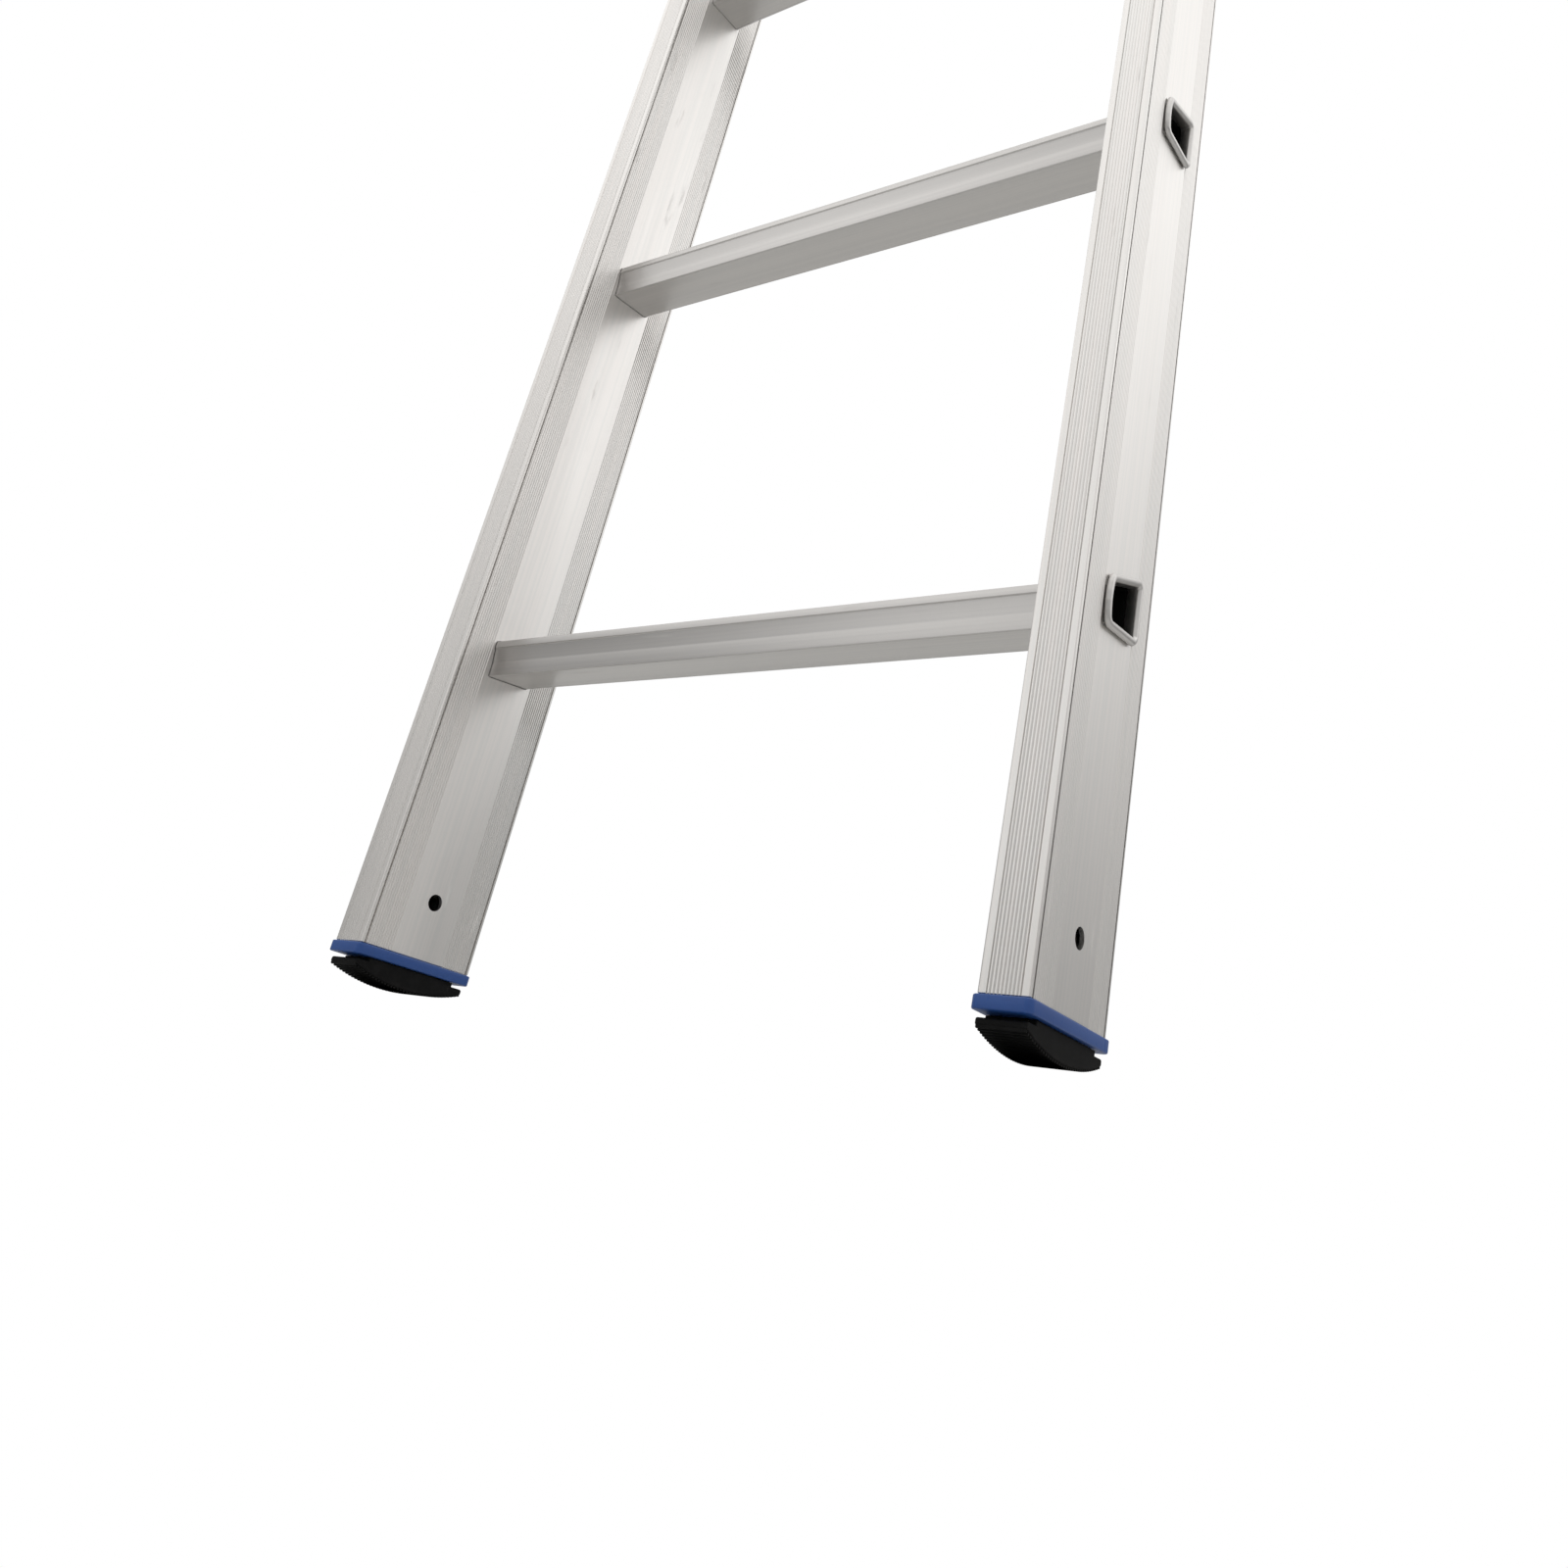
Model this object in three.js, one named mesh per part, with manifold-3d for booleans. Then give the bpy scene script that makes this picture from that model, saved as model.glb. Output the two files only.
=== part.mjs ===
// Two-section aluminium extension ladder, standing upright and extended.
// Millimetres. X runs along the rungs, the climber stands on the -Y side, Z runs up the stiles.
// The origin is on the floor, midway between the stiles and midway between the two sections.
import * as THREE from 'three';
import { mergeVertices } from 'three/addons/utils/BufferGeometryUtils.js';
import Module from 'manifold-3d';

const wasm = await Module();
wasm.setup();

// ---- driving dimensions ------------------------------------------------------------------
const LADDER_WIDTH = 400;        // over the outer faces of the two stiles
const STILE_THICKNESS = 21.5;    // stile section along the rungs
const STILE_DEPTH = 73;          // stile section from front to back
const STILE_WALL = 2;
const STILE_CORNER = 1.5;        // outside corner radius
const SECTION_GAP = 3;           // clear space between base section and fly section

const RUNG_COUNT = 7;            // rungs in each section
const RUNG_PITCH = 280;
const FIRST_RUNG = 161.5;        // stile end to the underside of the first rung
const TOP_REACH = 118.5;         // underside of the last rung to the top stile end
const RUNG_WALL = 1.6;
const RUNG_FRONT = 22.7;         // stile front face to the front wall of the rung
const RUNG_DEPTH = 30.8;         // front wall to back wall
const RUNG_FRONT_HEIGHT = 22.5;  // front edge of the underside to the front edge of the tread
const RUNG_EASE = 2.5;           // bevel of the rear corners
const RUNG_NOSE = 2;             // how far the nose stands in front of the front wall
const NOSE_TOP_DROP = 1;         // tread edge down to the top of the nose
const NOSE_DROP = 5;             // tread edge down to the foremost line of the nose
const HOLLOW_DROP = 14;          // tread edge down to where the front wall starts
const NOSE_TOP_SHARE = 0.9;      // share of the nose that its top stands out
const TREAD_ANGLE = THREE.MathUtils.degToRad(23.5);  // level when the ladder leans at 66.5 degrees
const UNDERSIDE_ANGLE = THREE.MathUtils.degToRad(9); // the underside rises to the back
const BEAD_SPREAD = 1.5;         // rolled bead beyond the rung's outline
const BEAD_HEIGHT = 3;
const BEAD_INSET = 2.5;          // rolled bead inside the rung's outline

const RAISED_RUNGS = 4;          // the fly stands this many rungs above the base section

const COLLAR_PROUD = 1.75;       // foot collar beyond the stile's faces
const COLLAR_THICKNESS = 5.5;
const PLUG_LENGTH = 42;          // foot plug inside the stile
const PLUG_WALL = 2.2;
const SOLE_RADIUS = 110;         // rocker curve under the foot
const SOLE_FACETS = 7;
const SOLE_TIP = 3.5;
const SOLE_SLOT = 2.2;           // open slot between the sole's tips and the collar
const SOLE_NECK = 56;            // front to back, where the sole joins the collar
const SOLE_INSET = 2;            // sole sides inside the collar's sides
const SOLE_END_INSET = 2.5;      // sole tips inside the collar's front and back

const CAP_SHOULDER = 14;         // top cap above the stile end
const SHOE_SHOULDER = 5;         // fly bottom cap below the stile end
const CAP_PLUG_LENGTH = 25;

const BRACE_HOLE_RADIUS = 4.5;   // stabiliser bar bolt, near the foot
const BRACE_HOLE_HEIGHT = 31;

const GUIDE_HEIGHT = 50;
const GUIDE_INSET = 15;          // stile end to the near edge of the guide
const GUIDE_PLATE = 3.2;
const GUIDE_STANDOFF = 4.8;      // plate to stile, clears the rung beads
const GUIDE_PAD_START = 12;      // pad edges, measured from the stile face beside the gap
const GUIDE_PAD_END = 60;
const GUIDE_SHOULDER = 13;       // sliding shoulder over the far corner of the other stile
const GUIDE_PLAY = 0.8;
const GUIDE_LIP_PLAY = 2;
const GUIDE_LIP_REACH = 14;
const GUIDE_BOLT_OFFSETS = [24, 48];

const BOLT_RADIUS = 4;
const BOLT_HEAD_RADIUS = 7;
const BOLT_HEAD_HEIGHT = 3;
const NUT_RADIUS = 6.5;
const NUT_HEIGHT = 5;

const HOOK_THICKNESS = 5;
const HOOK_OFFSET = 2.5;         // stile inner face to the hook plate
const HOOK_FINGER = 9;
const HOOK_FINGER_DROP = 30;     // finger reach below the tread's rear edge
const HOOK_EYE_RADIUS = 14;
const HOOK_ARM = 20;
const HOOK_REST_GAP = 0.4;       // hook to tread
const HOOK_BACK_GAP = 1.5;       // finger to the back of the rung
const HOOK_TIP_WIDTH = 7;        // finger width at its end
const HOOK_TIP_RISE = 4;         // height of the cut at the finger's end
const HOOK_HEEL_RISE = 3;        // heel corner above the tread line
const HOOK_HEEL_SETBACK = 6;     // arm corner in front of the finger
const HOOK_ARM_SETBACK = 4;      // arm corner behind the rung's front
const HOOK_EYE_TRIM = 0.1;       // radians of the eye left to the arm's lower edge
const PIVOT_FROM_FRONT = 46;     // hook pivot from the fly stile's front face
const PIVOT_ABOVE_RUNG = 80;     // hook pivot above the underside of the fly's first rung
const PIN_RADIUS = 5;
const PIN_HEAD_RADIUS = 9;
const PIN_HEAD_HEIGHT = 3.5;
const PIN_SHOULDER_RADIUS = 8;

const CLEARANCE = 0.3;           // between pieces that seat on or pass through each other
const CUT_MARGIN = 1;            // how far a cutting solid reaches past what it cuts
const ROUND_SEGMENTS = 20;

// ---- sizes that follow ---------------------------------------------------------------------
const STILE_LENGTH = FIRST_RUNG + (RUNG_COUNT - 1) * RUNG_PITCH + TOP_REACH;
const OUTER_FACE = LADDER_WIDTH / 2;
const INNER_FACE = OUTER_FACE - STILE_THICKNESS;
const FACE_NEAR = SECTION_GAP / 2;
const FACE_FAR = FACE_NEAR + STILE_DEPTH;
const SOLE_LENGTH = STILE_DEPTH + 2 * (COLLAR_PROUD - SOLE_END_INSET);
const SOLE_HALF_ANGLE = Math.asin(SOLE_LENGTH / 2 / SOLE_RADIUS);
const SOLE_STEP = 2 * SOLE_HALF_ANGLE / SOLE_FACETS;
const SOLE_RISE = SOLE_RADIUS * (Math.cos(SOLE_STEP / 2) - Math.cos(SOLE_HALF_ANGLE));
const SOLE_TOP = SOLE_RISE + SOLE_TIP + SOLE_SLOT;
const BASE_END = SOLE_TOP + CLEARANCE + COLLAR_THICKNESS + CLEARANCE;
const FLY_END = BASE_END + RAISED_RUNGS * RUNG_PITCH;

// ---- finishes ------------------------------------------------------------------------------
const finishes = {
  aluminium: { color: 0xc9cac8, roughness: 0.34, metalness: 0.9 },
  blue_plastic: { color: 0x1f56b4, roughness: 0.45, metalness: 0 },
  black_plastic: { color: 0x1c1d1f, roughness: 0.5, metalness: 0 },
  black_rubber: { color: 0x161616, roughness: 0.85, metalness: 0 },
  zinc_steel: { color: 0xaeb0b2, roughness: 0.3, metalness: 1 },
};

// ---- geometry helpers ----------------------------------------------------------------------
/** Closed three.js geometry to a solid that can be joined and cut. */
function toSolid(geometry) {
  const bare = geometry.clone();
  bare.deleteAttribute('normal');
  bare.deleteAttribute('uv');
  const merged = mergeVertices(bare, 1e-4);
  return new wasm.Manifold(new wasm.Mesh({
    numProp: 3,
    vertProperties: new Float32Array(merged.attributes.position.array),
    triVerts: new Uint32Array(merged.index.array),
  }));
}

/** Solid back to a three.js geometry. */
function toGeometry(solid) {
  const { vertProperties, triVerts } = solid.getMesh();
  const geometry = new THREE.BufferGeometry();
  geometry.setAttribute('position', new THREE.BufferAttribute(new Float32Array(vertProperties), 3));
  geometry.setIndex(new THREE.BufferAttribute(new Uint32Array(triVerts), 1));
  geometry.computeVertexNormals();
  return geometry;
}

/** Closed shape through the given points. */
function outlineShape(points) {
  return new THREE.Shape(points.map(([u, v]) => new THREE.Vector2(u, v)));
}

/** Shape in the X-Y plane, extruded from one height to another. */
function extrudeUp(shape, fromZ, toZ) {
  const settings = { depth: toZ - fromZ, bevelEnabled: false, curveSegments: 3 };
  return new THREE.ExtrudeGeometry(shape, settings).translate(0, 0, fromZ);
}

/** Shape in the Y-Z plane, extruded from one X to another. */
function extrudeAcross(shape, fromX, toX) {
  const settings = { depth: toX - fromX, bevelEnabled: false, curveSegments: 8 };
  const upright = new THREE.Matrix4().makeBasis(
    new THREE.Vector3(0, 1, 0), new THREE.Vector3(0, 0, 1), new THREE.Vector3(1, 0, 0));
  return new THREE.ExtrudeGeometry(shape, settings).applyMatrix4(upright).translate(fromX, 0, 0);
}

/** Rectangle with rounded corners, lying from (x0, y0) to (x1, y1). */
function roundedRectangle(x0, y0, x1, y1, radius) {
  const shape = new THREE.Shape();
  const quarter = Math.PI / 2;
  shape.absarc(x1 - radius, y0 + radius, radius, -quarter, 0);
  shape.absarc(x1 - radius, y1 - radius, radius, 0, quarter);
  shape.absarc(x0 + radius, y1 - radius, radius, quarter, 2 * quarter);
  shape.absarc(x0 + radius, y0 + radius, radius, 2 * quarter, 3 * quarter);
  return shape;
}

/** Counter-clockwise outline moved outwards by a distance, with mitred corners. */
function offsetOutline(points, distance) {
  const count = points.length;
  const normals = points.map(([u, v], i) => {
    const [nextU, nextV] = points[(i + 1) % count];
    const length = Math.hypot(nextU - u, nextV - v);
    return [(nextV - v) / length, (u - nextU) / length];
  });
  return points.map(([u, v], i) => {
    const [beforeU, beforeV] = normals[(i + count - 1) % count];
    const [afterU, afterV] = normals[i];
    const scale = distance / (1 + beforeU * afterU + beforeV * afterV);
    return [u + (beforeU + afterU) * scale, v + (beforeV + afterV) * scale];
  });
}

/** Round bar along X, centred on (y, z). */
function barAcross(radius, fromX, toX, y, z) {
  return new THREE.CylinderGeometry(radius, radius, toX - fromX, ROUND_SEGMENTS)
    .rotateZ(-Math.PI / 2).translate((fromX + toX) / 2, y, z);
}

/** Turned piece about X, from [radius, x] steps that start and end on the axis. */
function turnedAcross(steps, y, z) {
  const profile = steps.map(([radius, x]) => new THREE.Vector2(radius, x));
  const geometry = new THREE.LatheGeometry(profile, ROUND_SEGMENTS);
  return geometry.rotateZ(-Math.PI / 2).translate(0, y, z);
}

/** Named mesh with its own material. */
function piece(name, geometry, finish) {
  const mesh = new THREE.Mesh(geometry, new THREE.MeshStandardMaterial(finishes[finish]));
  mesh.name = name;
  return mesh;
}

/** The same geometry on the other side of the ladder, still facing outwards. */
function onSide(geometry, side) {
  if (side > 0) {
    return geometry;
  }
  const solid = toSolid(geometry).mirror([1, 0, 0]);
  return toGeometry(solid);
}

// ---- stiles and rungs, in a section's own frame ----------------------------------------------
// A section's frame has Y from the stile's front face and Z from the lower stile end.
const sides = [['left', -1], ['right', 1]];
const rungHeights = Array.from({ length: RUNG_COUNT }, (_, i) => FIRST_RUNG + i * RUNG_PITCH);

const rungBack = RUNG_FRONT + RUNG_DEPTH;
const easedBack = rungBack - RUNG_EASE;
const treadHeight = (y) => RUNG_FRONT_HEIGHT + (y - RUNG_FRONT) * Math.tan(TREAD_ANGLE);
const undersideHeight = (y) => (y - RUNG_FRONT) * Math.tan(UNDERSIDE_ANGLE);
const rungOutline = [
  [RUNG_FRONT, 0],
  [easedBack, undersideHeight(easedBack)],
  [rungBack, undersideHeight(easedBack) + RUNG_EASE],
  [rungBack, treadHeight(easedBack) - RUNG_EASE],
  [easedBack, treadHeight(easedBack)],
  [RUNG_FRONT, RUNG_FRONT_HEIGHT],
  [RUNG_FRONT - NOSE_TOP_SHARE * RUNG_NOSE, RUNG_FRONT_HEIGHT - NOSE_TOP_DROP],
  [RUNG_FRONT - RUNG_NOSE, RUNG_FRONT_HEIGHT - NOSE_DROP],
  [RUNG_FRONT, RUNG_FRONT_HEIGHT - HOLLOW_DROP],
];

/** Rung outline grown by a distance, as a closed shape at a height. */
function rungShape(growth, height) {
  return outlineShape(offsetOutline(rungOutline, growth).map(([y, z]) => [y, z + height]));
}

/** Hollow rung through both stiles, with a rolled bead outside each of them. */
function rungGeometry(height) {
  const beadFoot = OUTER_FACE + CLEARANCE;
  const beadTop = beadFoot + BEAD_HEIGHT;
  const tube = toSolid(extrudeAcross(rungShape(0, height), -beadTop, beadTop));
  const bore = toSolid(extrudeAcross(rungShape(-RUNG_WALL, height), -beadFoot, beadFoot));
  const cutEnd = beadTop + CUT_MARGIN;
  const mouth = toSolid(extrudeAcross(rungShape(-BEAD_INSET, height), -cutEnd, cutEnd));
  let solid = tube;
  for (const [, side] of sides) {
    const ends = [side * beadFoot, side * beadTop].sort((a, b) => a - b);
    solid = solid.add(toSolid(extrudeAcross(rungShape(BEAD_SPREAD, height), ...ends)));
  }
  return toGeometry(solid.subtract(bore).subtract(mouth));
}

/** Box-section stile with slots for its rungs and round holes where bolts and pins pass. */
function stileGeometry(side, outerHoles, innerHoles, throughHoles) {
  const edges = [side * INNER_FACE, side * OUTER_FACE].sort((a, b) => a - b);
  const section = roundedRectangle(edges[0], 0, edges[1], STILE_DEPTH, STILE_CORNER);
  section.holes.push(outlineShape([
    [edges[0] + STILE_WALL, STILE_WALL],
    [edges[0] + STILE_WALL, STILE_DEPTH - STILE_WALL],
    [edges[1] - STILE_WALL, STILE_DEPTH - STILE_WALL],
    [edges[1] - STILE_WALL, STILE_WALL],
  ]));
  let solid = toSolid(extrudeUp(section, 0, STILE_LENGTH));
  for (const height of rungHeights) {
    const slot = extrudeAcross(rungShape(CLEARANCE, height), edges[0] - CUT_MARGIN, edges[1] + CUT_MARGIN);
    solid = solid.subtract(toSolid(slot));
  }
  const middle = side * (INNER_FACE + STILE_THICKNESS / 2);
  const drill = ([y, z, radius], ends) => {
    const [fromX, toX] = ends.sort((a, b) => a - b);
    solid = solid.subtract(toSolid(barAcross(radius, fromX, toX, y, z)));
  };
  outerHoles.forEach((hole) => drill(hole, [middle, side * (OUTER_FACE + CUT_MARGIN)]));
  innerHoles.forEach((hole) => drill(hole, [middle, side * (INNER_FACE - CUT_MARGIN)]));
  throughHoles.forEach((hole) => drill(hole, [edges[0] - CUT_MARGIN, edges[1] + CUT_MARGIN]));
  return toGeometry(solid);
}

// ---- end caps and feet -----------------------------------------------------------------------
/** Flange over the stile end with a hollow plug inside the stile, pointing up. */
function plugGeometry(side, proud, flange, plugLength) {
  const edges = [side * INNER_FACE, side * OUTER_FACE].sort((a, b) => a - b);
  const plate = roundedRectangle(
    edges[0] - proud, -proud, edges[1] + proud, STILE_DEPTH + proud, STILE_CORNER + proud);
  const inset = STILE_WALL + CLEARANCE;
  const plug = outlineShape([
    [edges[0] + inset, inset],
    [edges[1] - inset, inset],
    [edges[1] - inset, STILE_DEPTH - inset],
    [edges[0] + inset, STILE_DEPTH - inset],
  ]);
  const core = inset + PLUG_WALL;
  const hollow = outlineShape([
    [edges[0] + core, core],
    [edges[1] - core, core],
    [edges[1] - core, STILE_DEPTH - core],
    [edges[0] + core, STILE_DEPTH - core],
  ]);
  return toSolid(extrudeUp(plate, -CLEARANCE - flange, -CLEARANCE))
    .add(toSolid(extrudeUp(plug, -CLEARANCE - flange / 2, plugLength)))
    .subtract(toSolid(extrudeUp(hollow, -CLEARANCE, plugLength + CUT_MARGIN)));
}

/** Blue collar between stile and sole, drilled for the stabiliser bar's bolt. */
function collarGeometry(side) {
  const reach = OUTER_FACE + CUT_MARGIN;
  const hole = barAcross(BRACE_HOLE_RADIUS, -reach, reach, STILE_DEPTH / 2, BRACE_HOLE_HEIGHT);
  return toGeometry(
    plugGeometry(side, COLLAR_PROUD, COLLAR_THICKNESS, PLUG_LENGTH).subtract(toSolid(hole)));
}

/** Rubber sole with a rocker underside and an open slot above each tip. */
function soleGeometry(side) {
  const centre = STILE_DEPTH / 2;
  const points = [];
  for (let i = 0; i <= SOLE_FACETS; i += 1) {
    const angle = -SOLE_HALF_ANGLE + i * SOLE_STEP;
    const rise = SOLE_RADIUS * (Math.cos(SOLE_STEP / 2) - Math.cos(angle));
    points.push([centre + SOLE_RADIUS * Math.sin(angle), rise]);
  }
  const slotFloor = SOLE_RISE + SOLE_TIP;
  points.push(
    [centre + SOLE_LENGTH / 2, slotFloor],
    [centre + SOLE_NECK / 2, slotFloor],
    [centre + SOLE_NECK / 2, SOLE_TOP],
    [centre - SOLE_NECK / 2, SOLE_TOP],
    [centre - SOLE_NECK / 2, slotFloor],
    [centre - SOLE_LENGTH / 2, slotFloor],
  );
  const reach = COLLAR_PROUD - SOLE_INSET;
  const ends = [side * (INNER_FACE - reach), side * (OUTER_FACE + reach)].sort((a, b) => a - b);
  return extrudeAcross(outlineShape(points), ...ends).translate(0, 0, -BASE_END);
}

/** Closed end cap; turned over, it stands on the top end of a stile. */
function capGeometry(side, shoulder, onTop) {
  const solid = plugGeometry(side, 0, shoulder, CAP_PLUG_LENGTH);
  return toGeometry(onTop ? solid.mirror([0, 0, 1]).translate([0, 0, STILE_LENGTH]) : solid);
}

// ---- slide guides and their bolts, in the ladder's frame -------------------------------------
/** Guide bolted to one section's stiles, wrapping the far corner of the other section's. */
function guideGeometry(facing, bottom) {
  const back = FACE_FAR + GUIDE_LIP_PLAY + GUIDE_PLATE;
  const outside = OUTER_FACE + GUIDE_STANDOFF + GUIDE_PLATE;
  const profile = [
    [OUTER_FACE + CLEARANCE, FACE_NEAR + GUIDE_PAD_END],
    [OUTER_FACE + CLEARANCE, FACE_NEAR + GUIDE_PAD_START],
    [OUTER_FACE + GUIDE_STANDOFF, FACE_NEAR + GUIDE_PAD_START],
    [OUTER_FACE + GUIDE_STANDOFF, GUIDE_SHOULDER - FACE_FAR],
    [OUTER_FACE + GUIDE_PLAY, GUIDE_SHOULDER - FACE_FAR],
    [OUTER_FACE + GUIDE_PLAY, GUIDE_PLATE - back],
    [OUTER_FACE - GUIDE_LIP_REACH, GUIDE_PLATE - back],
    [OUTER_FACE - GUIDE_LIP_REACH, -back],
    [outside, -back],
    [outside, FACE_NEAR + GUIDE_PAD_END],
  ].map(([x, y]) => [x, facing * y]);
  let solid = toSolid(extrudeUp(outlineShape(profile), bottom, bottom + GUIDE_HEIGHT));
  for (const offset of GUIDE_BOLT_OFFSETS) {
    const hole = barAcross(BOLT_RADIUS + CLEARANCE, OUTER_FACE - CUT_MARGIN, outside + CUT_MARGIN,
      facing * (FACE_NEAR + offset), bottom + GUIDE_HEIGHT / 2);
    solid = solid.subtract(toSolid(hole));
  }
  return toGeometry(solid);
}

/** Dome-headed bolt through a guide and the stile's outer wall, with its nut inside the stile. */
function boltGeometry(y, z) {
  const seat = OUTER_FACE + GUIDE_STANDOFF + GUIDE_PLATE + CLEARANCE;
  const nutFace = OUTER_FACE - STILE_WALL - CLEARANCE;
  return turnedAcross([
    [0, nutFace - NUT_HEIGHT],
    [NUT_RADIUS, nutFace - NUT_HEIGHT],
    [NUT_RADIUS, nutFace],
    [BOLT_RADIUS, nutFace],
    [BOLT_RADIUS, seat],
    [BOLT_HEAD_RADIUS, seat],
    [BOLT_HEAD_RADIUS, seat + 0.3 * BOLT_HEAD_HEIGHT],
    [0.6 * BOLT_HEAD_RADIUS, seat + 0.85 * BOLT_HEAD_HEIGHT],
    [0, seat + BOLT_HEAD_HEIGHT],
  ], y, z);
}

// ---- rung hooks and their pivot pins, in the fly section's frame -----------------------------
const hookOuter = INNER_FACE - HOOK_OFFSET;
const hookInner = hookOuter - HOOK_THICKNESS;
const pivotHeight = FIRST_RUNG + PIVOT_ABOVE_RUNG;

/** Hook plate: an eye on the fly stile, an arm over the base rung and a finger behind it. */
function hookGeometry() {
  const restY = (y) => y + STILE_DEPTH + SECTION_GAP;
  const seatHeight = (y) => FIRST_RUNG + treadHeight(y) + HOOK_REST_GAP / Math.cos(TREAD_ANGLE);
  const fingerFront = rungBack + HOOK_BACK_GAP;
  const fingerBack = fingerFront + HOOK_FINGER;
  const fingerEnd = seatHeight(easedBack) - HOOK_FINGER_DROP;
  const lean = Math.atan2(
    pivotHeight - seatHeight(RUNG_FRONT), restY(RUNG_FRONT) - PIVOT_FROM_FRONT);
  const shape = new THREE.Shape();
  shape.moveTo(restY(RUNG_FRONT), seatHeight(RUNG_FRONT));
  shape.lineTo(restY(fingerFront), seatHeight(fingerFront));
  shape.lineTo(restY(fingerFront), fingerEnd);
  shape.lineTo(restY(fingerFront) + HOOK_TIP_WIDTH, fingerEnd);
  shape.lineTo(restY(fingerBack), fingerEnd + HOOK_TIP_RISE);
  shape.lineTo(restY(fingerBack), seatHeight(fingerBack) + HOOK_HEEL_RISE);
  shape.lineTo(restY(fingerFront) - HOOK_HEEL_SETBACK, seatHeight(fingerBack) + HOOK_ARM / 2);
  shape.lineTo(restY(RUNG_FRONT) + HOOK_ARM_SETBACK,
    seatHeight(RUNG_FRONT + HOOK_ARM_SETBACK) + HOOK_ARM);
  shape.absarc(PIVOT_FROM_FRONT, pivotHeight, HOOK_EYE_RADIUS,
    Math.PI / 2 - lean, 3 * Math.PI / 2 - lean - HOOK_EYE_TRIM);
  const hole = barAcross(PIN_RADIUS + CLEARANCE, hookInner - CUT_MARGIN, hookOuter + CUT_MARGIN,
    PIVOT_FROM_FRONT, pivotHeight);
  const plate = toSolid(extrudeAcross(shape, hookInner, hookOuter));
  return toGeometry(plate.subtract(toSolid(hole)));
}

/** Shouldered pin through the fly stile's inner wall and the hook. */
function pinGeometry() {
  const nutFace = INNER_FACE + STILE_WALL + CLEARANCE;
  return turnedAcross([
    [0, hookInner - CLEARANCE - PIN_HEAD_HEIGHT],
    [0.8 * PIN_HEAD_RADIUS, hookInner - CLEARANCE - PIN_HEAD_HEIGHT],
    [PIN_HEAD_RADIUS, hookInner - CLEARANCE - 0.6 * PIN_HEAD_HEIGHT],
    [PIN_HEAD_RADIUS, hookInner - CLEARANCE],
    [PIN_RADIUS, hookInner - CLEARANCE],
    [PIN_RADIUS, hookOuter + CLEARANCE],
    [PIN_SHOULDER_RADIUS, hookOuter + CLEARANCE],
    [PIN_SHOULDER_RADIUS, INNER_FACE - CLEARANCE],
    [PIN_RADIUS, INNER_FACE - CLEARANCE],
    [PIN_RADIUS, nutFace],
    [NUT_RADIUS, nutFace],
    [NUT_RADIUS, nutFace + NUT_HEIGHT],
    [0, nutFace + NUT_HEIGHT],
  ], PIVOT_FROM_FRONT, pivotHeight);
}

// ---- the ladder ------------------------------------------------------------------------------
const ladder = new THREE.Group();
const base = new THREE.Group();
base.position.set(0, FACE_NEAR, BASE_END);
const fly = new THREE.Group();
fly.position.set(0, -FACE_FAR, FLY_END);
ladder.add(base, fly);

const topGuide = STILE_LENGTH - GUIDE_INSET - GUIDE_HEIGHT;
const holeRadius = BOLT_RADIUS + CLEARANCE;
const baseBoltHoles = GUIDE_BOLT_OFFSETS.map(
  (offset) => [offset, topGuide + GUIDE_HEIGHT / 2, holeRadius]);
const flyBoltHoles = GUIDE_BOLT_OFFSETS.map(
  (offset) => [STILE_DEPTH - offset, GUIDE_INSET + GUIDE_HEIGHT / 2, holeRadius]);
const pinHole = [PIVOT_FROM_FRONT, pivotHeight, PIN_RADIUS + CLEARANCE];
const braceHole = [STILE_DEPTH / 2, BRACE_HOLE_HEIGHT, BRACE_HOLE_RADIUS];

for (const [label, side] of sides) {
  base.add(
    piece(`base_stile_${label}`, stileGeometry(side, baseBoltHoles, [], [braceHole]), 'aluminium'),
    piece(`foot_collar_${label}`, collarGeometry(side), 'blue_plastic'),
    piece(`foot_sole_${label}`, soleGeometry(side), 'black_rubber'),
    piece(`base_top_cap_${label}`, capGeometry(side, SHOE_SHOULDER, true), 'black_plastic'),
  );
  fly.add(
    piece(`fly_stile_${label}`, stileGeometry(side, flyBoltHoles, [pinHole], []), 'aluminium'),
    piece(`fly_bottom_cap_${label}`, capGeometry(side, SHOE_SHOULDER, false), 'black_plastic'),
    piece(`fly_top_cap_${label}`, capGeometry(side, CAP_SHOULDER, true), 'blue_plastic'),
    piece(`rung_hook_${label}`, onSide(hookGeometry(), side), 'zinc_steel'),
    piece(`hook_pin_${label}`, onSide(pinGeometry(), side), 'zinc_steel'),
  );
  const guides = [['base', 1, BASE_END + topGuide], ['fly', -1, FLY_END + GUIDE_INSET]];
  for (const [section, facing, bottom] of guides) {
    const guide = guideGeometry(facing, bottom);
    ladder.add(piece(`${section}_guide_${label}`, onSide(guide, side), 'black_plastic'));
    GUIDE_BOLT_OFFSETS.forEach((offset, i) => {
      const bolt = boltGeometry(facing * (FACE_NEAR + offset), bottom + GUIDE_HEIGHT / 2);
      ladder.add(piece(`${section}_guide_bolt_${label}_${i + 1}`, onSide(bolt, side), 'zinc_steel'));
    });
  }
}

rungHeights.forEach((height, i) => {
  base.add(piece(`base_rung_${i + 1}`, rungGeometry(height), 'aluminium'));
  fly.add(piece(`fly_rung_${i + 1}`, rungGeometry(height), 'aluminium'));
});

export default ladder;
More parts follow.
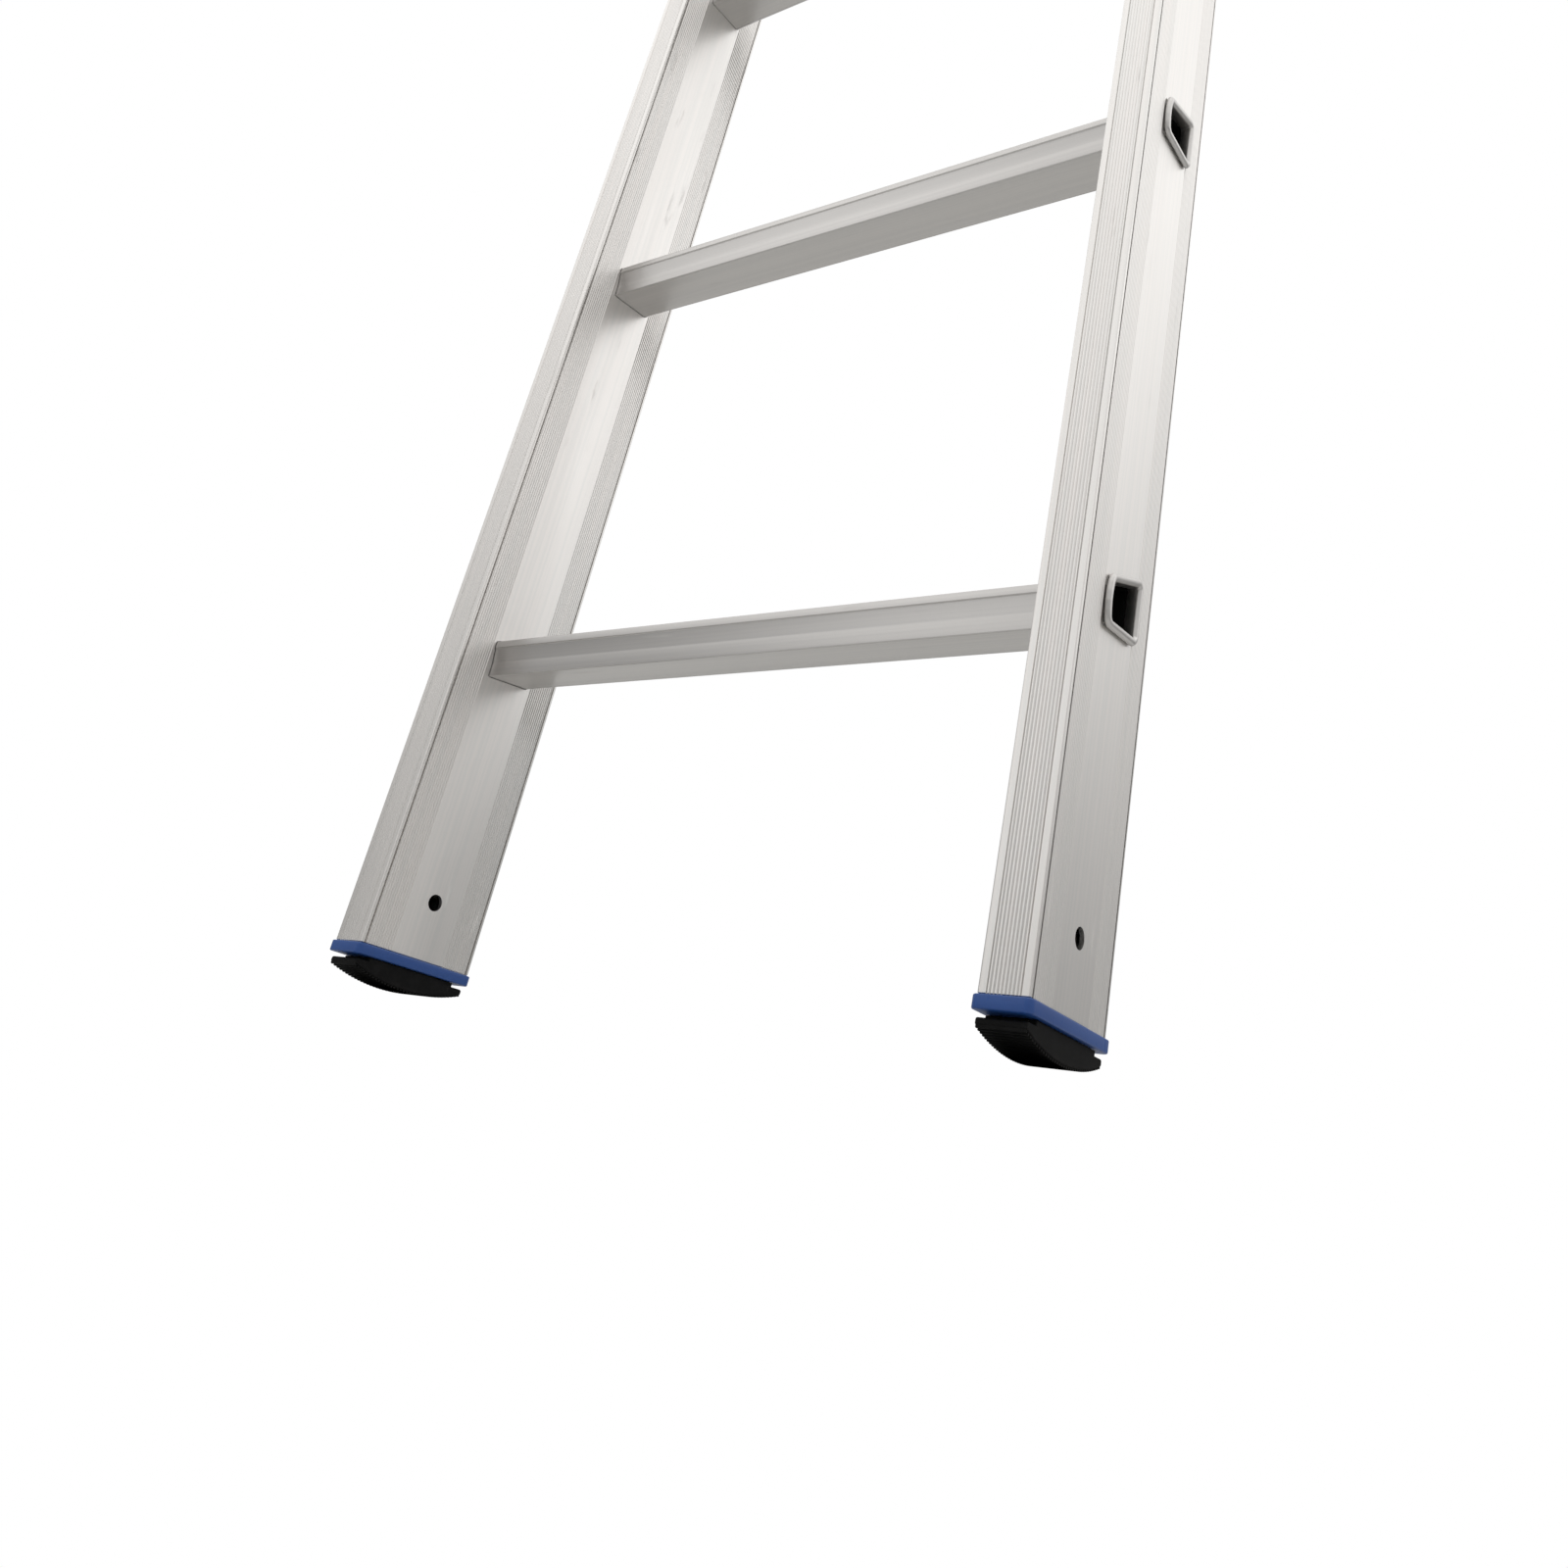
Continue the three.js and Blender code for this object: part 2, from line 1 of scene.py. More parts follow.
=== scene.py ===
"""Visual model of a two-section aluminium extension ladder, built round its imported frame.

Metres, +Z up the stiles, +X along the rungs, the climber on the -Y side.
"""

import logging
import math
from dataclasses import dataclass
from enum import Enum
from typing import Any, Callable, Iterable, Sequence, Union

import bmesh
import bpy
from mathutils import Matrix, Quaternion, Vector
from mathutils.geometry import tessellate_polygon


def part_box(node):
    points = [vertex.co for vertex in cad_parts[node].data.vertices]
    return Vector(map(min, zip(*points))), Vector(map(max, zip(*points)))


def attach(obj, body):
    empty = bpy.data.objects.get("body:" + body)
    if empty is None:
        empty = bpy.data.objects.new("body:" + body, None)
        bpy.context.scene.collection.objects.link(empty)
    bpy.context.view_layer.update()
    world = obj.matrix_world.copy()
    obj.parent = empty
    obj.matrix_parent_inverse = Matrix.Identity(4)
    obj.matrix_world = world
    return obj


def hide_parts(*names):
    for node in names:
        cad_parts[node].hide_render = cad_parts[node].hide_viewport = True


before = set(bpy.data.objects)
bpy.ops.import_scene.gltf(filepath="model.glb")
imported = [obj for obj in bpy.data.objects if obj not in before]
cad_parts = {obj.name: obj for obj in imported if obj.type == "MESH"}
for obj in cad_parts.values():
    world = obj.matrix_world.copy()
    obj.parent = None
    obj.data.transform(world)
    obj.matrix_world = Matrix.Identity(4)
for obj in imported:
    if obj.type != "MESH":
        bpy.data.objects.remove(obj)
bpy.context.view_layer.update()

Point = tuple[float, float]
Station = tuple[float, float]
Operand = Union["Field", float, Sequence[float]]

MM = 0.001
log = logging.getLogger("ladder")


class Section(Enum):
    """The two sections of the ladder; the value is both the body and the name prefix."""

    BASE = "base"
    FLY = "fly"


class Side(Enum):
    """A stile's side; the value is its sign along X."""

    LEFT = -1
    RIGHT = 1

    @property
    def label(self) -> str:
        """The side's word in a node name."""
        return self.name.lower()


class Slot(Enum):
    """Material slots of the record."""

    STILE = "stile_aluminium"
    RUNG = "rung_aluminium"
    BLUE = "blue_plastic"
    BLACK = "black_plastic"
    RUBBER = "black_rubber"
    ZINC = "zinc_steel"


# ---- node trees ------------------------------------------------------------------------------
class Field:
    """A node socket that takes part in arithmetic."""

    def __init__(self, graph: "Graph", socket: bpy.types.NodeSocket) -> None:
        """Keep the socket and the graph that it belongs to.

        Args:
            graph: The graph that new Math nodes are added to.
            socket: An output socket.
        """
        self.graph = graph
        self.socket = socket

    def _math(self, operation: str, *values: Operand) -> "Field":
        """Add a Math node.

        Args:
            operation: The Math node's operation.
            values: Its inputs, in order.

        Returns:
            The node's result.
        """
        return self.graph.node(
            "ShaderNodeMath", {"operation": operation}, dict(enumerate(values)))

    def __add__(self, other: Operand) -> "Field":
        """Sum."""
        return self._math("ADD", self, other)

    def __radd__(self, other: Operand) -> "Field":
        """Sum, with the field on the right."""
        return self._math("ADD", other, self)

    def __sub__(self, other: Operand) -> "Field":
        """Difference."""
        return self._math("SUBTRACT", self, other)

    def __rsub__(self, other: Operand) -> "Field":
        """Difference, with the field on the right."""
        return self._math("SUBTRACT", other, self)

    def __mul__(self, other: Operand) -> "Field":
        """Product."""
        return self._math("MULTIPLY", self, other)

    def __rmul__(self, other: Operand) -> "Field":
        """Product, with the field on the right."""
        return self._math("MULTIPLY", other, self)

    def __lt__(self, other: Operand) -> "Field":
        """One where the field is the smaller, else zero."""
        return self._math("LESS_THAN", self, other)

    def sine(self) -> "Field":
        """Sine of an angle in radians."""
        return self._math("SINE", self)

    def cosine(self) -> "Field":
        """Cosine of an angle in radians."""
        return self._math("COSINE", self)

    def positive(self) -> "Field":
        """The field, or zero where it is negative."""
        return self._math("MAXIMUM", self, 0.0)

    def smooth(self, low: float, high: float) -> "Field":
        """Smooth step.

        Args:
            low: Value that maps to zero.
            high: Value that maps to one.

        Returns:
            The stepped field.
        """
        return self.graph.node(
            "ShaderNodeMapRange", {"interpolation_type": "SMOOTHSTEP"},
            {"Value": self, "From Min": low, "From Max": high})


class Graph:
    """A node tree that nodes are added to by type, settings and values."""

    def __init__(self, tree: bpy.types.NodeTree) -> None:
        """Wrap a tree.

        Args:
            tree: A material's, world's or geometry node tree.
        """
        self.tree = tree

    def raw(self, kind: str, settings: dict[str, Any],
            values: dict[Any, Operand]) -> bpy.types.Node:
        """Add a node, set its options first and then its sockets.

        Args:
            kind: The node's type name.
            settings: Options such as an operation.
            values: Socket names or numbers, each with a value or a field to link.

        Returns:
            The node.
        """
        node = self.tree.nodes.new(kind)
        for name, value in settings.items():
            setattr(node, name, value)
        for name, value in values.items():
            if isinstance(value, Field):
                self.tree.links.new(value.socket, node.inputs[name])
            else:
                node.inputs[name].default_value = value
        return node

    def node(self, kind: str, settings: dict[str, Any] | None = None,
             values: dict[Any, Operand] | None = None, output: int | str = 0) -> Field:
        """Add a node and take one of its outputs.

        Args:
            kind: The node's type name.
            settings: Options such as an operation.
            values: Socket names or numbers, each with a value or a field to link.
            output: Name or number of the output.

        Returns:
            The output as a field.
        """
        return Field(self, self.raw(kind, settings or {}, values or {}).outputs[output])

    def colours(self, factor: Field, first: Sequence[float], second: Sequence[float]) -> Field:
        """Mix two colours.

        Args:
            factor: Share of the second colour.
            first: Linear red, green and blue.
            second: Linear red, green and blue.

        Returns:
            The mixed colour.
        """
        node = self.raw("ShaderNodeMix", {"data_type": "RGBA"}, {})
        self.tree.links.new(factor.socket, node.inputs[0])
        node.inputs[6].default_value = (*first, 1.0)
        node.inputs[7].default_value = (*second, 1.0)
        return Field(self, node.outputs[2])

    def noise(self, place: Field, scale: float, detail: float = 2.0) -> Field:
        """Fractal noise at a place.

        Args:
            place: Coordinates.
            scale: Noise cells in each unit of the coordinates.
            detail: Octaves.

        Returns:
            The noise value.
        """
        return self.node("ShaderNodeTexNoise", {"noise_dimensions": "3D"},
                         {"Vector": place, "Scale": scale, "Detail": detail})

    def stretched(self, scale: Sequence[float]) -> Field:
        """Object coordinates scaled on each axis.

        Args:
            scale: Scale along X, Y and Z.

        Returns:
            The scaled coordinates.
        """
        place = self.node("ShaderNodeTexCoord", output="Object")
        return self.node("ShaderNodeMapping", {}, {"Vector": place, "Scale": tuple(scale)})


# ---- finishes --------------------------------------------------------------------------------
def surface(name: str, metallic: float, build: Callable[[Graph], dict[str, Operand]],
            **constants: float) -> bpy.types.Material:
    """Make a material round one Principled shader.

    Args:
        name: The material's name.
        metallic: Metallic value.
        build: Adds the nodes and returns what feeds the shader's sockets.
        constants: Further socket values, with underscores for spaces.

    Returns:
        The material.
    """
    material = bpy.data.materials.new(name)
    material.use_nodes = True
    graph = Graph(material.node_tree)
    shader = material.node_tree.nodes["Principled BSDF"]
    shader.inputs["Metallic"].default_value = metallic
    for socket, value in constants.items():
        shader.inputs[socket.replace("_", " ")].default_value = value
    for socket, value in build(graph).items():
        graph.tree.links.new(value.socket, shader.inputs[socket])
    return material


@dataclass(frozen=True)
class SatinAluminium:
    """Extruded aluminium: die lines along the length, cloudy oxide and small handling marks."""

    name: str
    along: int
    light: Sequence[float] = (0.79, 0.765, 0.745)
    dark: Sequence[float] = (0.72, 0.715, 0.70)
    roughness: float = 0.28
    streak_scale: float = 620.0
    line_scale: float = 2600.0
    stretch: float = 0.004
    cloud_scale: float = 14.0
    mark_scale: float = 210.0
    relief: float = 0.02 * MM

    def material(self) -> bpy.types.Material:
        """Build the finish."""
        def build(graph: Graph) -> dict[str, Operand]:
            """Add the streaks, clouds and marks."""
            scale = [1.0, 1.0, 1.0]
            scale[self.along] = self.stretch
            lengthwise = graph.stretched(scale)
            streaks = graph.noise(lengthwise, self.streak_scale, 3.0)
            lines = graph.noise(lengthwise, self.line_scale, 2.0)
            scale[self.along] = 0.12
            clouds = graph.noise(graph.stretched(scale), self.cloud_scale, 4.0)
            marks = graph.noise(graph.stretched(scale), self.mark_scale, 3.0).smooth(0.66, 0.74)
            tone = streaks.smooth(0.32, 0.68) * 0.6 + clouds.smooth(0.3, 0.7) * 0.4
            rough = self.roughness + 0.10 * lines + 0.12 * clouds.smooth(0.35, 0.7) + 0.12 * marks
            height = lines * 0.6 + streaks * 0.4 - marks * 0.3
            bump = graph.node("ShaderNodeBump", {}, {
                "Height": height, "Strength": 0.55, "Distance": self.relief})
            return {"Base Color": graph.colours(tone, self.dark, self.light),
                    "Roughness": rough, "Normal": bump}
        return surface(self.name, 1.0, build)


@dataclass(frozen=True)
class BareBore:
    """Near-black painted shade inside an extruded tube, standing in for the shade deep in the bore.
    """

    name: str
    # tone is the near-black painted shade of the bore; dust is a slightly lighter random grain in
    # it
    tone: Sequence[float] = (0.003, 0.003, 0.003)
    dust: Sequence[float] = (0.008, 0.008, 0.007)

    def material(self) -> bpy.types.Material:
        """Build the finish."""
        def build(graph: Graph) -> dict[str, Operand]:
            """Add the dust grain to the painted shade."""
            grain = graph.noise(graph.stretched((0.05, 1.0, 1.0)), 900.0, 2.0)
            return {"Base Color": graph.colours(grain, self.tone, self.dust),
                    "Roughness": 0.75 + 0.2 * grain}
        return surface(self.name, 0.0, build, Specular_IOR_Level=0.1)


@dataclass(frozen=True)
class MouldedPlastic:
    """Injection-moulded plastic with a fine grain and faint flow marks."""

    name: str
    light: Sequence[float]
    dark: Sequence[float]
    roughness: float = 0.36
    grain_scale: float = 2200.0
    flow_scale: float = 38.0
    relief: float = 0.03 * MM

    def material(self) -> bpy.types.Material:
        """Build the finish."""
        def build(graph: Graph) -> dict[str, Operand]:
            """Add the grain and the flow marks."""
            grain = graph.noise(graph.stretched((1.0, 1.0, 1.0)), self.grain_scale, 2.0)
            flow = graph.noise(graph.stretched((1.0, 0.5, 2.0)), self.flow_scale, 3.0)
            scuffs = graph.noise(graph.stretched((1.0, 1.0, 0.3)), 420.0, 3.0).smooth(0.62, 0.72)
            bump = graph.node("ShaderNodeBump", {}, {
                "Height": grain, "Strength": 0.4, "Distance": self.relief})
            return {"Base Color": graph.colours(flow, self.dark, self.light),
                    "Roughness": self.roughness + 0.12 * flow + 0.2 * scuffs, "Normal": bump}
        return surface(self.name, 0.0, build)


@dataclass(frozen=True)
class SoftRubber:
    """Dull black rubber with a little floor dust on its lowest edges."""

    name: str
    black: Sequence[float] = (0.003, 0.003, 0.003)
    worn: Sequence[float] = (0.008, 0.008, 0.008)
    dusty: Sequence[float] = (0.02, 0.019, 0.018)
    dust_height: float = 4.0 * MM

    def material(self) -> bpy.types.Material:
        """Build the finish."""
        def build(graph: Graph) -> dict[str, Operand]:
            """Add the pitted skin and the dust."""
            place = graph.node("ShaderNodeTexCoord", output="Object")
            height = graph.node("ShaderNodeSeparateXYZ", {}, {"Vector": place}, "Z")
            pits = graph.noise(graph.stretched((1.0, 1.0, 1.0)), 1500.0, 3.0)
            patches = graph.noise(graph.stretched((1.0, 1.0, 1.0)), 160.0, 3.0)
            skin = graph.colours(patches.smooth(0.4, 0.7), self.black, self.worn)
            low = 1.0 - height.smooth(0.0, self.dust_height)
            tone = graph.raw("ShaderNodeMix", {"data_type": "RGBA"}, {})
            graph.tree.links.new((low * patches * 0.8).socket, tone.inputs[0])
            graph.tree.links.new(skin.socket, tone.inputs[6])
            tone.inputs[7].default_value = (*self.dusty, 1.0)
            bump = graph.node("ShaderNodeBump", {}, {
                "Height": pits, "Strength": 0.5, "Distance": 0.06 * MM})
            return {"Base Color": Field(graph, tone.outputs[2]),
                    "Roughness": 0.62 + 0.25 * patches, "Normal": bump}
        return surface(self.name, 0.0, build, Specular_IOR_Level=0.15)


@dataclass(frozen=True)
class ZincPlate:
    """Zinc-plated steel with a faint spangle."""

    name: str
    light: Sequence[float] = (0.62, 0.62, 0.60)
    dark: Sequence[float] = (0.42, 0.43, 0.44)

    def material(self) -> bpy.types.Material:
        """Build the finish."""
        def build(graph: Graph) -> dict[str, Operand]:
            """Add the spangle and the fine brushing."""
            place = graph.stretched((1.0, 1.0, 1.0))
            spangle = graph.node("ShaderNodeTexVoronoi", {"feature": "SMOOTH_F1"},
                                 {"Vector": place, "Scale": 190.0}, "Distance")
            cloud = graph.noise(place, 260.0, 4.0)
            tone = spangle * 0.5 + cloud * 0.5
            bump = graph.node("ShaderNodeBump", {}, {
                "Height": cloud, "Strength": 0.3, "Distance": 0.02 * MM})
            return {"Base Color": graph.colours(tone, self.dark, self.light),
                    "Roughness": 0.24 + 0.22 * cloud, "Normal": bump}
        return surface(self.name, 1.0, build)


@dataclass(frozen=True)
class Palette:
    """The ladder's finished materials, and the painted shade for the rung bores."""

    stile: bpy.types.Material
    rung: bpy.types.Material
    bore: bpy.types.Material
    blue: bpy.types.Material
    black: bpy.types.Material
    rubber: bpy.types.Material
    zinc: bpy.types.Material


def make_palette() -> Palette:
    """Build every finish once."""
    return Palette(
        stile=SatinAluminium("stile_satin", along=2).material(),
        rung=SatinAluminium("rung_satin", along=0, roughness=0.26,
                            light=(0.56, 0.545, 0.53), dark=(0.51, 0.50, 0.49)).material(),
        # The bore material is near-black painted shade for the inside of the rungs.
        bore=BareBore("bare_bore").material(),
        blue=MouldedPlastic("blue_moulding", (0.017, 0.078, 0.300),
                            (0.012, 0.058, 0.235)).material(),
        black=MouldedPlastic("black_moulding", (0.020, 0.020, 0.021), (0.011, 0.011, 0.012),
                             roughness=0.42).material(),
        rubber=SoftRubber("sole_rubber").material(),
        zinc=ZincPlate("zinc_plate").material(),
    )


# ---- outlines --------------------------------------------------------------------------------
def offset_outline(points: Sequence[Point], distance: float) -> list[Point]:
    """Move a counter-clockwise outline outwards with mitred corners.

    Args:
        points: Corners of the outline.
        distance: How far outwards; negative is inwards.

    Returns:
        The moved corners.
    """
    count = len(points)
    normals = []
    for i, (u, v) in enumerate(points):
        after = points[(i + 1) % count]
        edge = Vector((after[0] - u, after[1] - v)).normalized()
        normals.append(Vector((edge.y, -edge.x)))
    moved = []
    for i, (u, v) in enumerate(points):
        both = normals[i - 1] + normals[i]
        scale = distance / (1.0 + normals[i - 1].dot(normals[i]))
        moved.append((u + both.x * scale, v + both.y * scale))
    return moved


def rounded_outline(points: Sequence[Point], radii: Sequence[float], steps: int) -> list[Point]:
    """Round each corner of an outline with an arc.

    Args:
        points: Counter-clockwise corners.
        radii: A radius for each corner.
        steps: Facets in each arc.

    Returns:
        Points of the rounded outline, steps + 1 for each corner.
    """
    count = len(points)
    result = []
    for i, radius in enumerate(radii):
        corner = Vector(points[i])
        before = (Vector(points[i - 1]) - corner)
        after = (Vector(points[(i + 1) % count]) - corner)
        half = before.angle(after) / 2.0
        reach = min(radius / math.tan(half), 0.48 * before.length, 0.48 * after.length)
        start = corner + before.normalized() * reach
        end = corner + after.normalized() * reach
        bisector = (before.normalized() + after.normalized()).normalized()
        centre = corner + bisector * (reach / math.cos(half))
        for k in range(steps + 1):
            chord = start.lerp(end, k / steps) - centre
            point = centre + chord.normalized() * (start - centre).length
            result.append((point.x, point.y))
    return result


def box_corners(low: Point, high: Point) -> list[Point]:
    """Counter-clockwise corners of a rectangle."""
    return [(low[0], low[1]), (high[0], low[1]), (high[0], high[1]), (low[0], high[1])]


@dataclass(frozen=True)
class Groove:
    """A groove across an edge, measured along that edge."""

    start: float
    width: float
    depth: float
    square: bool = False


def rib_grooves(start: float, end: float, count: int, depth: float) -> list[Groove]:
    """Grooves that leave fine ribs between them.

    Args:
        start: Where the ribbed band starts along the edge.
        end: Where it ends.
        count: Number of grooves.
        depth: Groove depth.

    Returns:
        The grooves, in order.
    """
    pitch = (end - start) / count
    return [Groove(start + pitch * (i + 0.2), pitch * 0.6, depth) for i in range(count)]


def grooved_edge(start: Point, end: Point, grooves: Iterable[Groove]) -> list[Point]:
    """Points along an edge of a counter-clockwise outline, grooves cut to its left.

    Args:
        start: Where the edge starts.
        end: Where it ends; the next edge adds that point.
        grooves: Grooves in order along the edge.

    Returns:
        Points from the start up to the last groove.
    """
    origin = Vector(start)
    along = (Vector(end) - origin).normalized()
    inward = Vector((-along.y, along.x))
    points = [origin]
    for groove in grooves:
        shares = (0.0, 1.0) if groove.square else (0.5,)
        points.append(origin + along * groove.start)
        for share in shares:
            points.append(origin + along * (groove.start + groove.width * share)
                          + inward * groove.depth)
        points.append(origin + along * (groove.start + groove.width))
    return [(p.x, p.y) for p in points]


# ---- meshes ----------------------------------------------------------------------------------
def new_piece(name: str, vertices: Sequence[Sequence[float]], faces: Sequence[Sequence[int]],
              material: bpy.types.Material | None) -> bpy.types.Object:
    """Make an object at the origin from vertices and faces, facing outwards.

    Args:
        name: The piece's name.
        vertices: Positions in metres.
        faces: Vertex numbers of each face.
        material: Its material, if it has one now.

    Returns:
        The linked object.
    """
    mesh = bpy.data.meshes.new(name)
    mesh.from_pydata([tuple(v) for v in vertices], [], [tuple(f) for f in faces])
    shell = bmesh.new()
    shell.from_mesh(mesh)
    bmesh.ops.remove_doubles(shell, verts=shell.verts, dist=1e-7)
    bmesh.ops.recalc_face_normals(shell, faces=shell.faces)
    shell.to_mesh(mesh)
    shell.free()
    if material is not None:
        mesh.materials.append(material)
    piece = bpy.data.objects.new(name, mesh)
    bpy.context.collection.objects.link(piece)
    return piece


def bake(piece: bpy.types.Object) -> None:
    """Turn a piece's modifiers into a plain mesh.

    Args:
        piece: The object, which keeps its name.
    """
    graph = bpy.context.evaluated_depsgraph_get()
    mesh = bpy.data.meshes.new_from_object(piece.evaluated_get(graph), depsgraph=graph)
    piece.modifiers.clear()
    piece.data = mesh


def tube_solid(name: str, outer: Sequence[Point], inner: Sequence[Point], low: float, high: float,
               ease: float, material: bpy.types.Material) -> bpy.types.Object:
    """Straight tube along Z between two outlines, its outer end edges eased.

    Args:
        name: The piece's name.
        outer: Outer outline in X and Y.
        inner: Inner outline in X and Y.
        low: Lower end.
        high: Upper end.
        ease: Size of the chamfer on the outer end edges.
        material: Its material.

    Returns:
        The object.
    """
    middle = Vector(((min(x for x, _ in outer) + max(x for x, _ in outer)) / 2,
                     (min(y for _, y in outer) + max(y for _, y in outer)) / 2))
    eased = [(x - math.copysign(ease, x - middle.x), y - math.copysign(ease, y - middle.y))
             for x, y in outer]
    count, hole = len(outer), len(inner)
    levels = [(low, eased), (low + ease, outer), (high - ease, outer), (high, eased)]
    vertices = [(x, y, z) for z, ring in levels for x, y in ring]
    vertices += [(x, y, z) for z in (low, high) for x, y in inner]
    faces = []
    for level in range(3):
        for i in range(count):
            a, b = level * count + i, level * count + (i + 1) % count
            faces.append((a, b, b + count, a + count))
    first = 4 * count
    for i in range(hole):
        a, b = first + i, first + (i + 1) % hole
        faces.append((a, b, b + hole, a + hole))
    loops = [[Vector((x, y, 0.0)) for x, y in ring] for ring in (eased, inner)]
    for triangle in tessellate_polygon(loops):
        faces.append(tuple(i if i < count else first + i - count for i in triangle))
        faces.append(tuple(3 * count + i if i < count else first + hole + i - count
                           for i in triangle))
    return new_piece(name, vertices, faces, material)


def stacked_solid(name: str, ring: Callable[[float], list[Point]], stations: Sequence[Station],
                  material: bpy.types.Material) -> bpy.types.Object:
    """Closed solid through outlines stacked along Z.

    Args:
        name: The piece's name.
        ring: Outline in X and Y for a growth.
        stations: Height and growth of each outline.
        material: Its material.

    Returns:
        The object.
    """
    vertices, faces = [], []
    for height, growth in stations:
        vertices.extend((x, y, height) for x, y in ring(growth))
    count = len(ring(0.0))
    for level in range(len(stations) - 1):
        for i in range(count):
            a, b = level * count + i, level * count + (i + 1) % count
            faces.append((a, b, b + count, a + count))
    faces.append(tuple(range(count)))
    faces.append(tuple(range(len(vertices) - count, len(vertices))))
    return new_piece(name, vertices, faces, material)


def eased_stations(low: float, high: float, ease: float, steps: int = 3) -> list[Station]:
    """Stations of a block whose two end faces have rounded edges.

    Args:
        low: Lower end.
        high: Upper end.
        ease: Edge radius.
        steps: Facets in each edge.

    Returns:
        Heights and growths.
    """
    arcs = [math.pi / 2 * k / steps for k in range(steps + 1)]
    foot = [(low + ease * (1 - math.cos(a)), -ease * (1 - math.sin(a))) for a in arcs]
    return foot + [(low + high - z, growth) for z, growth in reversed(foot)]


def profile_solid(name: str, outline: Sequence[Point], axis: int, low: float, high: float,
                  ease: float, material: bpy.types.Material) -> bpy.types.Object:
    """Extruded outline with eased edges.

    Args:
        name: The piece's name.
        outline: Outline in Y and Z for axis 0, in X and Y for axis 2.
        axis: Axis of the extrusion.
        low: Where it starts.
        high: Where it ends.
        ease: Bevel width.
        material: Its material.

    Returns:
        The baked object.
    """
    count = len(outline)
    place = (lambda u, v, w: (w, u, v)) if axis == 0 else (lambda u, v, w: (u, v, w))
    vertices = [place(u, v, w) for w in (low, high) for u, v in outline]
    faces = [(i, (i + 1) % count, (i + 1) % count + count, i + count) for i in range(count)]
    faces.append(tuple(range(count)))
    faces.append(tuple(range(count, 2 * count)))
    piece = new_piece(name, vertices, faces, material)
    bevel = piece.modifiers.new("ease", "BEVEL")
    bevel.width = ease
    bevel.segments = 2
    bevel.limit_method = "ANGLE"
    bevel.angle_limit = math.radians(28)
    bake(piece)
    return piece


def turned_solid(name: str, steps: Sequence[Point], centre: Sequence[float], facing: float,
                 material: bpy.types.Material, around: int = 40) -> bpy.types.Object:
    """Turned piece about a line along X.

    Args:
        name: The piece's name.
        steps: Radius and distance along the axis, from the axis back to the axis.
        centre: Y and Z of the axis.
        facing: Sign of X.
        material: Its material.
        around: Facets round the axis.

    Returns:
        The object.
    """
    vertices, faces = [], []
    for radius, along in steps:
        for k in range(around):
            angle = 2 * math.pi * k / around
            vertices.append((facing * along, centre[0] + radius * math.cos(angle),
                             centre[1] + radius * math.sin(angle)))
    for level in range(len(steps) - 1):
        for k in range(around):
            a, b = level * around + k, level * around + (k + 1) % around
            faces.append((a, b, b + around, a + around))
    return new_piece(name, vertices, faces, material)


def smooth_shade(piece: bpy.types.Object, angle: float = 32.0) -> None:
    """Shade a piece smooth except over sharp edges.

    Args:
        piece: The object.
        angle: Smallest angle of a sharp edge, in degrees.
    """
    for polygon in piece.data.polygons:
        polygon.use_smooth = True
    shell = bmesh.new()
    shell.from_mesh(piece.data)
    for edge in shell.edges:
        flat = len(edge.link_faces) == 2 and edge.calc_face_angle() < math.radians(angle)
        edge.smooth = flat
    shell.to_mesh(piece.data)
    shell.free()


def report(piece: bpy.types.Object, body: str, nodes: Sequence[str]) -> None:
    """Hand a finished piece to the frame and log it.

    Args:
        piece: The finished object.
        body: The body that it rides on.
        nodes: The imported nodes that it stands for.
    """
    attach(piece, body)
    if nodes:
        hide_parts(*nodes)
    log.info("%s: %d faces on %s", piece.name, len(piece.data.polygons), body)


